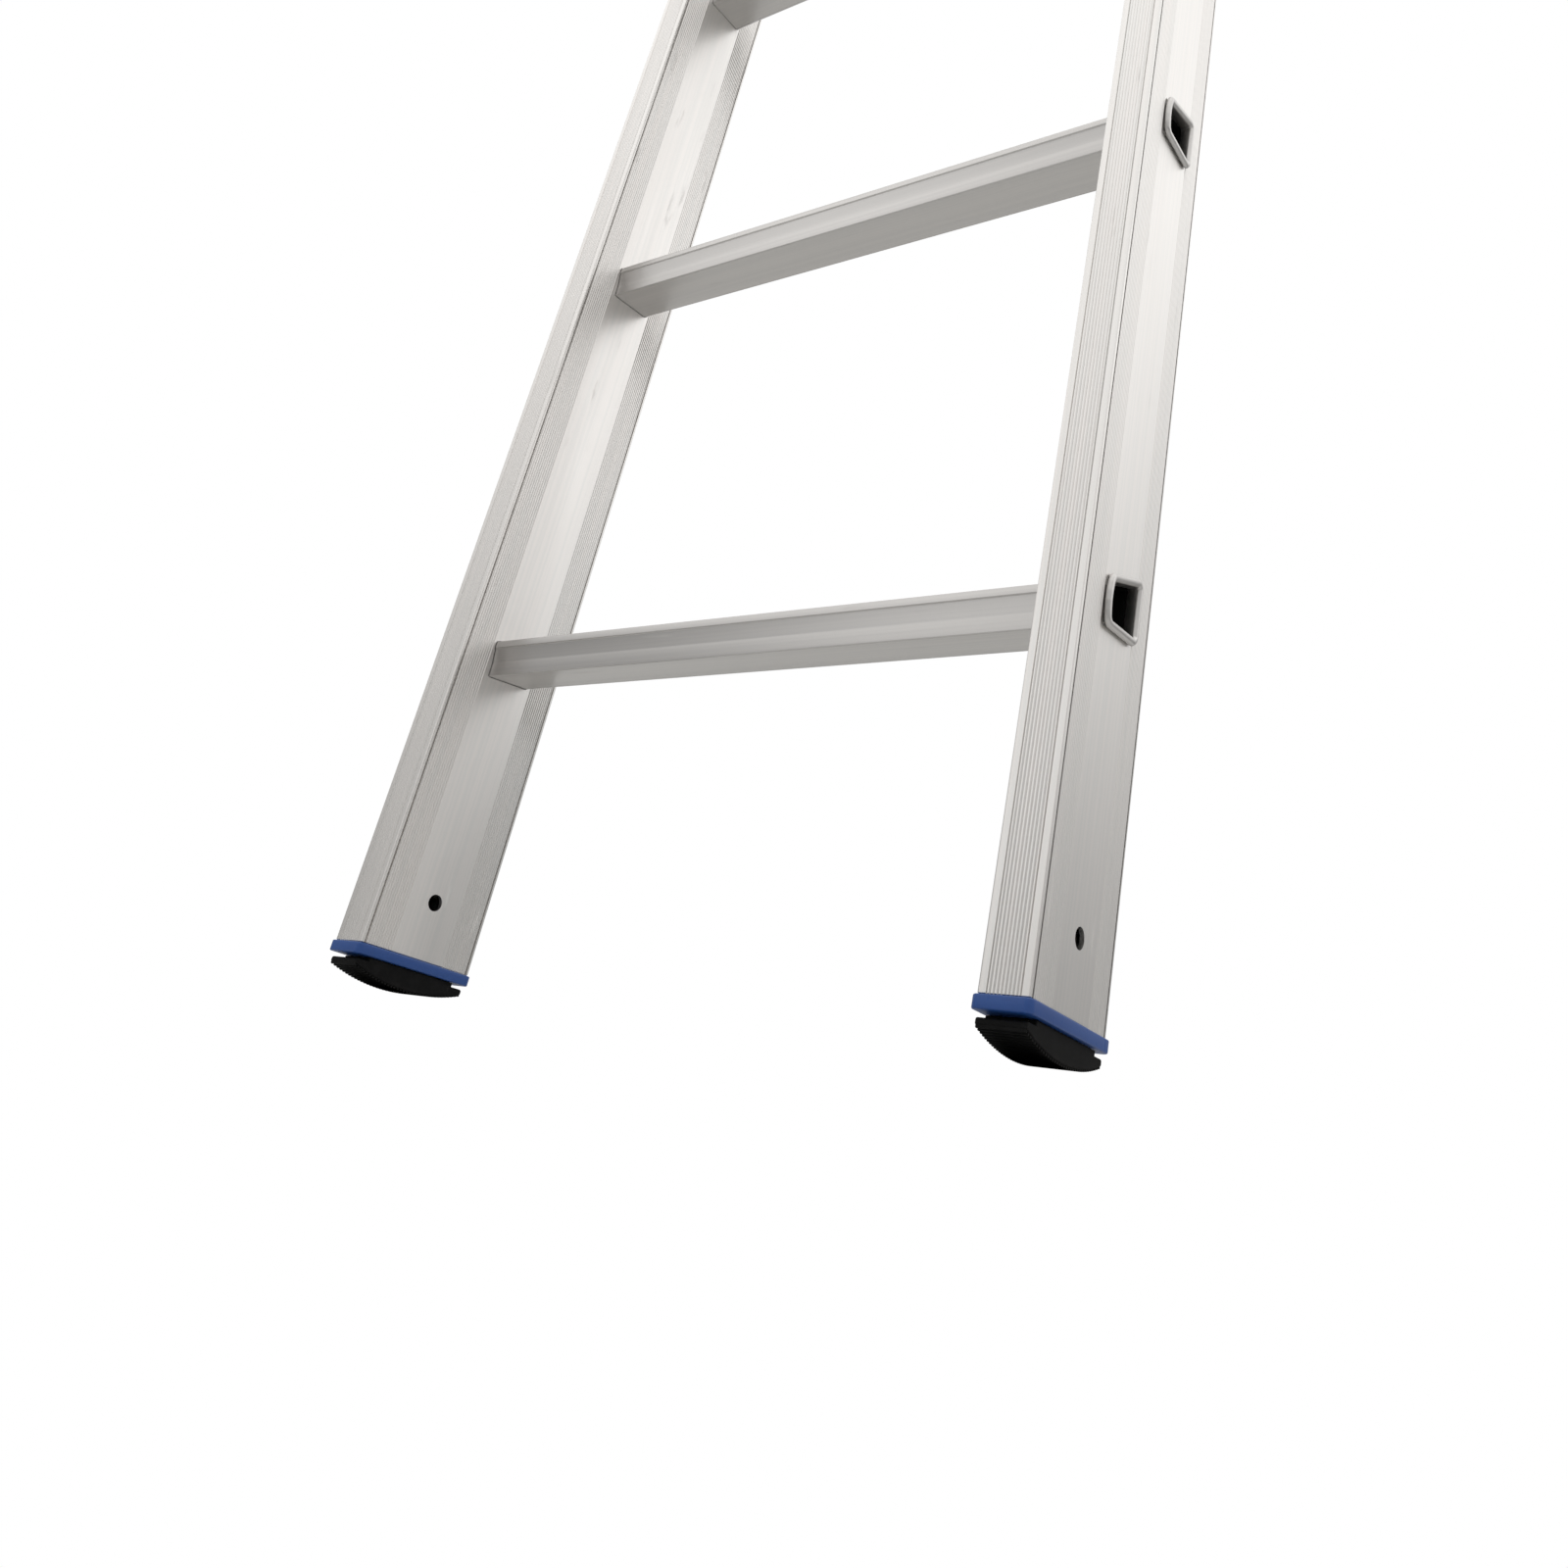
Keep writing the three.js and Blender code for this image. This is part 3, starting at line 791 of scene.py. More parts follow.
# ---- geometry node trees ---------------------------------------------------------------------
class Rule:
    """A geometry node tree with named inputs."""

    def __init__(self, name: str) -> None:
        """Start a tree with a geometry input and a geometry output.

        Args:
            name: The tree's name.
        """
        self.tree = bpy.data.node_groups.new(name, "GeometryNodeTree")
        self.graph = Graph(self.tree)
        self.identifiers: dict[str, str] = {}
        self._socket("Geometry", "NodeSocketGeometry")
        self.tree.interface.new_socket("Geometry", in_out="OUTPUT",
                                       socket_type="NodeSocketGeometry")
        self.entry = self.tree.nodes.new("NodeGroupInput")

    def _socket(self, name: str, kind: str) -> None:
        """Add an input socket and keep its identifier."""
        made = self.tree.interface.new_socket(name, in_out="INPUT", socket_type=kind)
        self.identifiers[name] = made.identifier

    def input(self, name: str, kind: str) -> Field:
        """Add a named input.

        Args:
            name: The input's name.
            kind: Its socket type.

        Returns:
            The input as a field.
        """
        self._socket(name, kind)
        return Field(self.graph, self.entry.outputs[name])

    @property
    def geometry(self) -> Field:
        """The geometry that comes in."""
        return Field(self.graph, self.entry.outputs["Geometry"])

    def close(self, geometry: Field, material: Field, lining: Field | None = None) -> None:
        """End the tree in Realize Instances and Set Material.

        Args:
            geometry: The finished geometry.
            material: Material of its faces.
            lining: Material of the faces marked lining, the near-black painted shade of the rung
                bores, if there are any.
        """
        real = self.graph.node("GeometryNodeRealizeInstances", {}, {"Geometry": geometry})
        dressed = self.graph.node(
            "GeometryNodeSetMaterial", {}, {"Geometry": real, "Material": material})
        if lining is not None:
            # Faces marked lining get the near-black painted shade of the rung bores.
            marked = self.graph.node(
                "GeometryNodeInputNamedAttribute", {"data_type": "BOOLEAN"}, {"Name": "lining"})
            dressed = self.graph.node("GeometryNodeSetMaterial", {}, {
                "Geometry": dressed, "Selection": marked, "Material": lining})
        end = self.tree.nodes.new("NodeGroupOutput")
        self.tree.links.new(dressed.socket, end.inputs["Geometry"])

    def apply(self, piece: bpy.types.Object, **values: Any) -> None:
        """Put the tree on a piece with its input values and bake it.

        Args:
            piece: The object.
            values: Input names, with underscores for spaces, and their values.
        """
        modifier = piece.modifiers.new(self.tree.name, "NODES")
        modifier.node_group = self.tree
        for name, value in values.items():
            modifier[self.identifiers[name.replace("_", " ")]] = value
        bake(piece)


def make_slot_rule() -> Rule:
    """Tree that cuts one slot for each rung through a stile."""
    rule = Rule("rung_slots")
    cutter = rule.input("Cutter", "NodeSocketObject")
    count = rule.input("Count", "NodeSocketInt")
    pitch = rule.input("Pitch", "NodeSocketFloat")
    material = rule.input("Material", "NodeSocketMaterial")
    graph = rule.graph
    step = graph.node("ShaderNodeCombineXYZ", {}, {"Z": pitch})
    line = graph.node("GeometryNodeMeshLine", {"mode": "OFFSET"}, {"Count": count, "Offset": step})
    shape = graph.node("GeometryNodeObjectInfo", {}, {"Object": cutter}, "Geometry")
    placed = graph.node("GeometryNodeInstanceOnPoints", {}, {"Points": line, "Instance": shape})
    cutters = graph.node("GeometryNodeRealizeInstances", {}, {"Geometry": placed})
    cut = graph.raw("GeometryNodeMeshBoolean", {"operation": "DIFFERENCE"}, {})
    rule.tree.links.new(rule.geometry.socket, cut.inputs[0])
    rule.tree.links.new(cutters.socket, cut.inputs[1])
    rule.close(Field(graph, cut.outputs[0]), material)
    return rule


def make_row_rule() -> Rule:
    """Tree that repeats one rung up a section and gives the marked bore faces the near-black
    painted shade.
    """
    rule = Rule("rung_row")
    count = rule.input("Count", "NodeSocketInt")
    pitch = rule.input("Pitch", "NodeSocketFloat")
    material = rule.input("Material", "NodeSocketMaterial")
    # Material of the rung bores: the near-black painted shade.
    lining = rule.input("Lining", "NodeSocketMaterial")
    graph = rule.graph
    step = graph.node("ShaderNodeCombineXYZ", {}, {"Z": pitch})
    line = graph.node("GeometryNodeMeshLine", {"mode": "OFFSET"}, {"Count": count, "Offset": step})
    row = graph.node("GeometryNodeInstanceOnPoints", {}, {
        "Points": line, "Instance": rule.geometry})
    rule.close(row, material, lining)
    return rule


def make_tooth_rule() -> Rule:
    """Tree that adds grip teeth round the rocker curve of a sole."""
    rule = Rule("sole_teeth")
    tooth = rule.input("Tooth", "NodeSocketObject")
    count = rule.input("Count", "NodeSocketInt")
    radius = rule.input("Radius", "NodeSocketFloat")
    first = rule.input("First Angle", "NodeSocketFloat")
    step = rule.input("Angle Step", "NodeSocketFloat")
    centre = rule.input("Centre", "NodeSocketVector")
    material = rule.input("Material", "NodeSocketMaterial")
    graph = rule.graph
    line = graph.node("GeometryNodeMeshLine", {"mode": "OFFSET"}, {"Count": count})
    angle = first + graph.node("GeometryNodeInputIndex") * step
    swing = graph.node("ShaderNodeCombineXYZ", {}, {
        "Y": angle.sine() * radius, "Z": (1.0 - angle.cosine()) * radius})
    place = graph.node("ShaderNodeVectorMath", {"operation": "ADD"}, {0: swing, 1: centre})
    points = graph.node("GeometryNodeSetPosition", {}, {"Geometry": line, "Position": place})
    turn = graph.node("ShaderNodeCombineXYZ", {}, {"X": angle})
    shape = graph.node("GeometryNodeObjectInfo", {}, {"Object": tooth}, "Geometry")
    teeth = graph.node("GeometryNodeInstanceOnPoints", {}, {
        "Points": points, "Instance": shape, "Rotation": turn})
    both = rule.tree.nodes.new("GeometryNodeJoinGeometry")
    rule.tree.links.new(rule.geometry.socket, both.inputs[0])
    rule.tree.links.new(teeth.socket, both.inputs[0])
    rule.close(Field(graph, both.outputs[0]), material)
    return rule


def make_bolt_rule() -> Rule:
    """Tree that puts a bolt on each point and turns those on the left outwards."""
    rule = Rule("guide_bolts")
    bolt = rule.input("Bolt", "NodeSocketObject")
    material = rule.input("Material", "NodeSocketMaterial")
    graph = rule.graph
    place = graph.node("GeometryNodeInputPosition")
    across = graph.node("ShaderNodeSeparateXYZ", {}, {"Vector": place}, "X")
    turn = graph.node("ShaderNodeCombineXYZ", {}, {"Z": (across < 0.0) * math.pi})
    shape = graph.node("GeometryNodeObjectInfo", {}, {"Object": bolt}, "Geometry")
    bolts = graph.node("GeometryNodeInstanceOnPoints", {}, {
        "Points": rule.geometry, "Instance": shape, "Rotation": turn})
    rule.close(bolts, material)
    return rule


# ---- rungs -----------------------------------------------------------------------------------
@dataclass(frozen=True)
class RungProfile:
    """Section of a rung: Y from the stile's front face, Z from the front of its underside."""

    front: float = 22.7 * MM
    depth: float = 30.8 * MM
    front_height: float = 22.5 * MM
    ease: float = 2.5 * MM
    nose: float = 2 * MM
    nose_top_drop: float = 1 * MM
    nose_top_share: float = 0.9
    nose_drop: float = 5 * MM
    ledge: float = 0.7 * MM
    ledge_share: float = 1.08
    hollow_drop: float = 14 * MM
    hollow_share: float = 0.12
    mouth_front: Sequence[Point] = ((0.6, 0.84), (0.9, 0.64), (0.9, 0.44), (0.6, 0.24))
    tread_angle: float = math.radians(23.5)
    underside_angle: float = math.radians(9)
    wall: float = 1.6 * MM
    tread_grooves: int = 9
    groove_depth: float = 0.45 * MM
    tube_radii: Sequence[float] = (0.8, 2.0, 2.0, 1.8, 1.8, 0.5, 0.4, 0.3, -0.4, -9.0)
    mouth_radii: Sequence[float] = (4.2, 2.6, 2.6, 2.8, 2.8, 3.2, 2.0, 2.0, 2.0, 2.0)

    def height(self) -> float:
        """Top of the tread above the front of the underside."""
        return self.front_height + (self.depth - self.ease) * math.tan(self.tread_angle)

    def corners(self, mouth: float) -> list[Point]:
        """Sharp corners, counter-clockwise from the lower front.

        Args:
            mouth: Zero for the tube with its nose and hollow, one for the swaged mouth.

        Returns:
            Ten corners.
        """
        back = self.front + self.depth
        eased = back - self.ease
        rise = (eased - self.front) * math.tan(self.underside_angle)
        top, edge = self.height(), self.front_height
        nose = [
            (self.front - self.nose_top_share * self.nose, edge - self.nose_top_drop),
            (self.front - self.nose, edge - self.nose_drop),
            (self.front - self.nose + self.ledge, edge - self.ledge_share * self.nose_drop),
            (self.front - self.hollow_share * self.nose, edge - self.hollow_drop),
        ]
        swaged = [(self.front - out * self.nose, up * edge) for out, up in self.mouth_front]
        blended = [tuple(Vector(a).lerp(Vector(b), mouth)) for a, b in zip(nose, swaged)]
        return [(self.front, 0.0), (eased, rise), (back, rise + self.ease), (back, top - self.ease),
                (eased, top), (self.front, edge), *blended]

    def ring(self, growth: float, mouth: float = 0.0, steps: int = 4) -> list[Point]:
        """Rounded outline, grown by a distance, with tread grooves on the tube's outside.

        Args:
            growth: How far outwards; negative is inwards.
            mouth: Share of the swaged mouth's shape.
            steps: Facets in each corner.

        Returns:
            The outline's points; every growth has the same number.
        """
        grown = []
        for tube, rolled in zip(self.tube_radii, self.mouth_radii):
            radius = (tube + (rolled - tube) * mouth) * MM
            grown.append(max(0.25 * MM, radius + growth if radius > 0 else -radius - growth))
        corners = offset_outline(self.corners(mouth), growth)
        arcs = rounded_outline(corners, grown, steps)
        block = steps + 1
        depth = self.groove_depth if growth == 0.0 and mouth == 0.0 else 0.0
        result: list[Point] = []
        for i in range(len(corners)):
            result.extend(arcs[i * block:(i + 1) * block])
            if i == 4:
                start = Vector(arcs[(i + 1) * block - 1])
                end = Vector(arcs[(i + 1) * block])
                span = (end - start).length
                bands = rib_grooves(0.04 * span, 0.96 * span, self.tread_grooves, depth)
                result.extend(grooved_edge(tuple(start), tuple(end), bands)[1:])
        return result


@dataclass
class RungRow:
    """All rungs of one section, with a rolled bead outside each stile."""

    section: Section
    palette: Palette
    profile: RungProfile = RungProfile()
    count: int = 7
    bead_spread: float = 1.5 * MM
    bead_inset: float = 2.5 * MM
    bead_height: float = 3 * MM
    bead_steps: int = 12
    throat: float = 7 * MM

    def nodes(self) -> list[str]:
        """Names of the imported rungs."""
        return [f"{self.section.value}_rung_{i + 1}" for i in range(self.count)]

    def pitch(self) -> float:
        """Rise from rung to rung."""
        names = self.nodes()
        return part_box(names[1])[0][2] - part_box(names[0])[0][2]

    def underside(self) -> float:
        """Height of the first rung's underside."""
        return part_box(self.nodes()[0])[0][2] + self.bead_spread

    def stations(self) -> tuple[list[tuple[float, float, float]], int]:
        """Work out the rings of a rung's right half.

        Returns:
            Place, growth and mouth share of each ring, and the ring where the bore starts.
        """
        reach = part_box(self.nodes()[0])[1][0]
        foot = reach - self.bead_height
        middle = (self.bead_spread - self.bead_inset) / 2
        half = (self.bead_spread + self.bead_inset) / 2
        crease = 0.37 * self.bead_height
        rings = [(foot, 0.0, 0.0), (foot, middle + 0.45 * half, 1.0)]
        for k in range(self.bead_steps + 1):
            angle = math.radians(-50 + 230 * k / self.bead_steps)
            rise = crease if angle < 0 else self.bead_height - crease
            rings.append((foot + crease + rise * math.sin(angle),
                          middle + half * math.cos(angle), 1.0))
        bore = len(rings)
        rings.append((foot - 0.5 * self.throat, -self.bead_inset, 1.0))
        rings.append((foot - self.throat, -self.profile.wall, 0.0))
        return rings, bore

    def build(self, rule: Rule) -> bpy.types.Object:
        """Build the row.

        Args:
            rule: The tree that repeats a rung.

        Returns:
            The finished piece.
        """
        right, bore = self.stations()
        loop = right + [(-x, growth, mouth) for x, growth, mouth in reversed(right)]
        # Rings from the throat inwards line the bore and get the near-black painted shade.
        shaded_rings = set(range(bore, len(loop) - bore - 1))
        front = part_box(f"{self.section.value}_stile_right")[0][1]
        height = self.underside()
        count = len(self.profile.ring(0.0))
        vertices, faces, marks = [], [], []
        for x, growth, mouth in loop:
            vertices.extend((x, front + y, height + z) for y, z in self.profile.ring(growth, mouth))
        for level in range(len(loop)):
            after = (level + 1) % len(loop)
            for i in range(count):
                k = (i + 1) % count
                faces.append((level * count + i, level * count + k,
                              after * count + k, after * count + i))
                marks.append(level in shaded_rings)
        name = f"{self.section.value}_rungs"
        piece = self._marked(name, vertices, faces, marks)
        smooth_shade(piece, 24.0)
        # The bore faces take the near-black painted shade.
        rule.apply(piece, Count=self.count, Pitch=self.pitch(),
                   Material=self.palette.rung, Lining=self.palette.bore)
        report(piece, self.section.value, self.nodes())
        return piece

    @staticmethod
    def _marked(name: str, vertices: Sequence[Sequence[float]], faces: Sequence[Sequence[int]],
                marks: Sequence[bool]) -> bpy.types.Object:
        """Make one rung's shell with its bore faces marked for the near-black painted shade.

        Args:
            name: Name of the piece.
            vertices: Its points.
            faces: Its faces.
            marks: Which faces line the bore and take the painted shade.

        Returns:
            The shell.
        """
        mesh = bpy.data.meshes.new(name)
        mesh.from_pydata([tuple(v) for v in vertices], [], [tuple(f) for f in faces])
        mesh.attributes.new("lining", "BOOLEAN", "FACE").data.foreach_set("value", list(marks))
        shell = bmesh.new()
        shell.from_mesh(mesh)
        bmesh.ops.recalc_face_normals(shell, faces=shell.faces)
        shell.to_mesh(mesh)
        shell.free()
        piece = bpy.data.objects.new(name, mesh)
        bpy.context.collection.objects.link(piece)
        return piece


# ---- stiles ----------------------------------------------------------------------------------
@dataclass(frozen=True)
class BraceHole:
    """Hole near a foot for the bolt of a stabiliser bar."""

    radius: float = 4.5 * MM
    height: float = 31 * MM


def drill_across(piece: bpy.types.Object, hole: BraceHole) -> None:
    """Cut the bolt hole right through a piece along X.

    Args:
        piece: A stile or a plug inside it.
        hole: The hole's size and its height above the stile's end.
    """
    low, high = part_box("base_stile_right")
    reach = 2 * high[0]
    steps = [(0.0, -reach), (hole.radius, -reach), (hole.radius, reach), (0.0, reach)]
    centre = ((low[1] + high[1]) / 2, low[2] + hole.height)
    drill = turned_solid("brace_drill", steps, centre, 1.0, piece.data.materials[0])
    cut = piece.modifiers.new("brace_hole", "BOOLEAN")
    cut.operation = "DIFFERENCE"
    cut.solver = "EXACT"
    cut.object = drill
    bake(piece)
    bpy.data.objects.remove(drill)


@dataclass
class Stile:
    """Box-section stile with a ribbed front and back and ribbed bands down its sides."""

    section: Section
    side: Side
    palette: Palette
    wall: float = 2 * MM
    corner: float = 0.7 * MM
    lip: float = 1.5 * MM
    lip_groove: float = 1.1 * MM
    lip_depth: float = 1.6 * MM
    band_front: float = 19.5 * MM
    band_back: float = 19.0 * MM
    margin: float = 4.4 * MM
    side_ribs: int = 11
    face_ribs: int = 8
    side_relief: float = 0.45 * MM
    face_relief: float = 0.33 * MM
    slot_gap: float = 0.3 * MM
    end_ease: float = 0.35 * MM
    brace: BraceHole = BraceHole()

    def outline(self, low: Point, high: Point) -> list[Point]:
        """Outer outline in X and Y.

        Args:
            low: Lowest X and Y.
            high: Highest X and Y.

        Returns:
            Counter-clockwise points.
        """
        width, depth = high[0] - low[0], high[1] - low[1]
        face = [Groove(self.margin - 0.9 * MM, 0.7 * MM, 0.7 * MM),
                *rib_grooves(self.margin, width - self.margin, self.face_ribs, self.face_relief),
                Groove(width - self.margin + 0.2 * MM, 0.7 * MM, 0.7 * MM)]
        lip = Groove(self.lip, self.lip_groove, self.lip_depth, True)
        far_lip = Groove(depth - self.lip - self.lip_groove, self.lip_groove, self.lip_depth, True)
        start = self.lip + self.lip_groove
        near = rib_grooves(start, self.band_front, self.side_ribs, self.side_relief)
        far = rib_grooves(depth - self.band_back, depth - start, self.side_ribs, self.side_relief)
        outer = [lip, *near, *far, far_lip]
        mirrored = [Groove(depth - g.start - g.width, g.width, g.depth, g.square)
                    for g in reversed(outer)]
        corners = box_corners(low, high)
        points: list[Point] = []
        for i, grooves in enumerate((face, outer, face, mirrored)):
            start_corner, end_corner = Vector(corners[i]), Vector(corners[(i + 1) % 4])
            before = Vector(corners[i - 1])
            arc_centre = (start_corner + (end_corner - start_corner).normalized() * self.corner
                          + (before - start_corner).normalized() * self.corner)
            turn = math.atan2(start_corner.y - arc_centre.y, start_corner.x - arc_centre.x)
            for k in range(4):
                angle = turn - math.pi / 4 + math.pi / 2 * k / 3
                points.append((arc_centre.x + self.corner * math.cos(angle),
                               arc_centre.y + self.corner * math.sin(angle)))
            points.extend(grooved_edge(tuple(start_corner), tuple(end_corner), grooves)[1:])
        return points

    def build(self, rows: RungRow, rule: Rule) -> bpy.types.Object:
        """Build the stile.

        Args:
            rows: The section's rungs, which its slots fit.
            rule: The tree that cuts the slots.

        Returns:
            The finished piece.
        """
        node = f"{self.section.value}_stile_{self.side.label}"
        low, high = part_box(node)
        outer = self.outline((low[0], low[1]), (high[0], high[1]))
        inner = box_corners((low[0] + self.wall, low[1] + self.wall),
                            (high[0] - self.wall, high[1] - self.wall))
        piece = tube_solid(f"{node}_extrusion", outer, inner, low[2], high[2], self.end_ease,
                           self.palette.stile)
        ring = rows.profile.ring(self.slot_gap)
        height = rows.underside()
        slot = profile_solid(
            "slot_cutter", [(low[1] + y, height + z) for y, z in ring], 0,
            low[0] - self.wall, high[0] + self.wall, 0.0, self.palette.stile)
        if self.section is Section.BASE:
            drill_across(piece, self.brace)
        rule.apply(piece, Cutter=slot, Count=rows.count, Pitch=rows.pitch(),
                   Material=self.palette.stile)
        bpy.data.objects.remove(slot)
        report(piece, self.section.value, [node])
        return piece


# ---- feet and caps ---------------------------------------------------------------------------
@dataclass
class Foot:
    """Blue collar, plug and rocking rubber sole under one base stile."""

    side: Side
    palette: Palette
    corner: float = 3.2 * MM
    ease: float = 0.6 * MM
    collar_thickness: float = 5.5 * MM
    plug_inset: float = 2.3 * MM
    plug_length: float = 42 * MM
    sole_radius: float = 110 * MM
    sole_tip: float = 3.5 * MM
    neck: float = 56 * MM
    tooth_height: float = 0.9 * MM
    tooth_count: int = 34
    arc_steps: int = 28

    def collar_ring(self, growth: float) -> list[Point]:
        """Collar outline in X and Y, grown by a distance."""
        low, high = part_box(f"foot_collar_{self.side.label}")
        corners = offset_outline(box_corners((low[0], low[1]), (high[0], high[1])), growth)
        return rounded_outline(corners, [max(self.corner + growth, 0.4 * MM)] * 4, 6)

    def build_collar(self) -> None:
        """Build the blue collar."""
        node = f"foot_collar_{self.side.label}"
        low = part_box(node)[0][2]
        piece = stacked_solid(f"{node}_moulding", self.collar_ring,
                              eased_stations(low, low + self.collar_thickness, self.ease),
                              self.palette.blue)
        smooth_shade(piece)
        report(piece, Section.BASE.value, [node])

    def build_plug(self) -> None:
        """Build the foot's plug, drilled for the bolt of a stabiliser bar.

        Both heights come out at the top of the collar's node, so only a thin sliver of the
        plug is left. A start at the top of the collar's blue part would give the whole plug.
        """
        low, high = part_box(f"base_stile_{self.side.label}")
        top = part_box(f"foot_collar_{self.side.label}")[1][2]
        inset = self.plug_inset
        corners = box_corners((low[0] + inset, low[1] + inset), (high[0] - inset, high[1] - inset))
        # The plug uses the bore's near-black painted-shade material.
        piece = stacked_solid(
            f"foot_plug_{self.side.label}",
            lambda growth: rounded_outline(offset_outline(corners, growth), [1.2 * MM] * 4, 3),
            eased_stations(top, low[2] + self.plug_length, self.ease), self.palette.bore)
        drill_across(piece, BraceHole())
        smooth_shade(piece)
        report(piece, Section.BASE.value, [])

    def build_sole(self, rule: Rule) -> None:
        """Build the toothed rubber sole.

        Args:
            rule: The tree that adds the teeth.
        """
        node = f"foot_sole_{self.side.label}"
        low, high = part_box(node)
        centre = (low[1] + high[1]) / 2
        half = (high[1] - low[1]) / 2
        swing = math.asin(half / self.sole_radius)
        inner = self.sole_radius - self.tooth_height
        arc = []
        for k in range(self.arc_steps + 1):
            angle = -swing + 2 * swing * k / self.arc_steps
            arc.append((centre + inner * math.sin(angle),
                        low[2] + self.sole_radius - inner * math.cos(angle)))
        slot_floor = low[2] + self.sole_radius * (1 - math.cos(swing)) + self.sole_tip
        neck = self.neck / 2
        outline = arc + [
            (arc[-1][0], slot_floor - 0.7 * MM),
            (arc[-1][0] - 0.7 * MM, slot_floor),
            (centre + neck, slot_floor),
            (centre + neck, high[2]),
            (centre - neck, high[2]),
            (centre - neck, slot_floor),
            (arc[0][0] + 0.7 * MM, slot_floor),
            (arc[0][0], slot_floor - 0.7 * MM),
        ]
        piece = profile_solid(f"{node}_moulding", outline, 0, low[0], high[0], 0.5 * MM,
                              self.palette.rubber)
        step = 2 * swing / self.tooth_count
        base = self.sole_radius * step / 2
        flank = [(-0.8 * base, 1.2 * self.tooth_height), (-0.45 * base, 0.0), (0.45 * base, 0.0),
                 (0.8 * base, 1.2 * self.tooth_height)]
        tooth = profile_solid("tooth", flank, 0, low[0] + 0.4 * MM, high[0] - 0.4 * MM, 0.0,
                              self.palette.rubber)
        rule.apply(piece, Tooth=tooth, Count=self.tooth_count, Radius=self.sole_radius,
                   First_Angle=-swing + step / 2, Angle_Step=step,
                   Centre=(0.0, centre, low[2] + 0.02 * MM), Material=self.palette.rubber)
        bpy.data.objects.remove(tooth)
        report(piece, Section.BASE.value, [node])


@dataclass
class EndCap:
    """Moulded cap over a stile end, with a rounded shoulder and shallow grip grooves."""

    node: str
    section: Section
    slot: Slot
    shoulder: float
    on_top: bool
    material: bpy.types.Material
    corner: float = 1.5 * MM
    ease: float = 1.2 * MM
    groove: float = 0.5 * MM

    def stations(self) -> list[Station]:
        """Heights and growths of the shoulder, with grooves where it is tall enough."""
        low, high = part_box(self.node)
        bottom = high[2] - self.shoulder if self.on_top else low[2]
        block = eased_stations(bottom, bottom + self.shoulder, self.ease)
        count = int((self.shoulder - 4 * self.ease) / (3 * MM))
        middle = bottom + self.shoulder / 2
        rings = []
        for k in range(count):
            height = middle + (k - (count - 1) / 2) * 3 * MM
            rings += [(height - 0.7 * MM, 0.0), (height, -self.groove), (height + 0.7 * MM, 0.0)]
        half = len(block) // 2
        return block[:half] + rings + block[half:]

    def build(self) -> None:
        """Build the cap's shoulder and its grooves."""
        low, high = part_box(self.node)
        corners = box_corners((low[0], low[1]), (high[0], high[1]))
        piece = stacked_solid(
            f"{self.node}_moulding",
            lambda growth: rounded_outline(
                offset_outline(corners, growth), [max(self.corner + growth, 0.3 * MM)] * 4, 4),
            self.stations(), self.material)
        smooth_shade(piece)
        report(piece, self.section.value, [self.node])


# ---- guides, bolts and hooks -----------------------------------------------------------------
@dataclass
class SlideGuide:
    """Bracket on one section that wraps the far corner of the other section's stile."""

    section: Section
    side: Side
    palette: Palette
    plate: float = 3.2 * MM
    standoff: float = 4.8 * MM
    pad_start: float = 12 * MM
    pad_end: float = 60 * MM
    shoulder: float = 13 * MM
    play: float = 0.8 * MM
    lip_reach: float = 14 * MM
    seat_gap: float = 0.3 * MM

    def build(self) -> None:
        """Build the guide."""
        node = f"{self.section.value}_guide_{self.side.label}"
        low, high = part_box(node)
        facing = 1.0 if self.section is Section.BASE else -1.0
        sign = self.side.value
        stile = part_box(f"base_stile_{self.side.label}")
        face = max(abs(stile[0][0]), abs(stile[1][0]))
        near, far = stile[0][1], stile[1][1]
        back = max(abs(low[1]), abs(high[1]))
        profile = [
            (face + self.seat_gap, near + self.pad_end),
            (face + self.seat_gap, near + self.pad_start),
            (face + self.standoff, near + self.pad_start),
            (face + self.standoff, self.shoulder - far),
            (face + self.play, self.shoulder - far),
            (face + self.play, self.plate - back),
            (face - self.lip_reach, self.plate - back),
            (face - self.lip_reach, -back),
            (face + self.standoff + self.plate, -back),
            (face + self.standoff + self.plate, near + self.pad_end),
        ]
        outline = [(sign * x, facing * y) for x, y in profile]
        piece = profile_solid(f"{node}_moulding", outline, 2, low[2], high[2], 0.7 * MM,
                              self.palette.black)
        smooth_shade(piece)
        report(piece, self.section.value, [node])


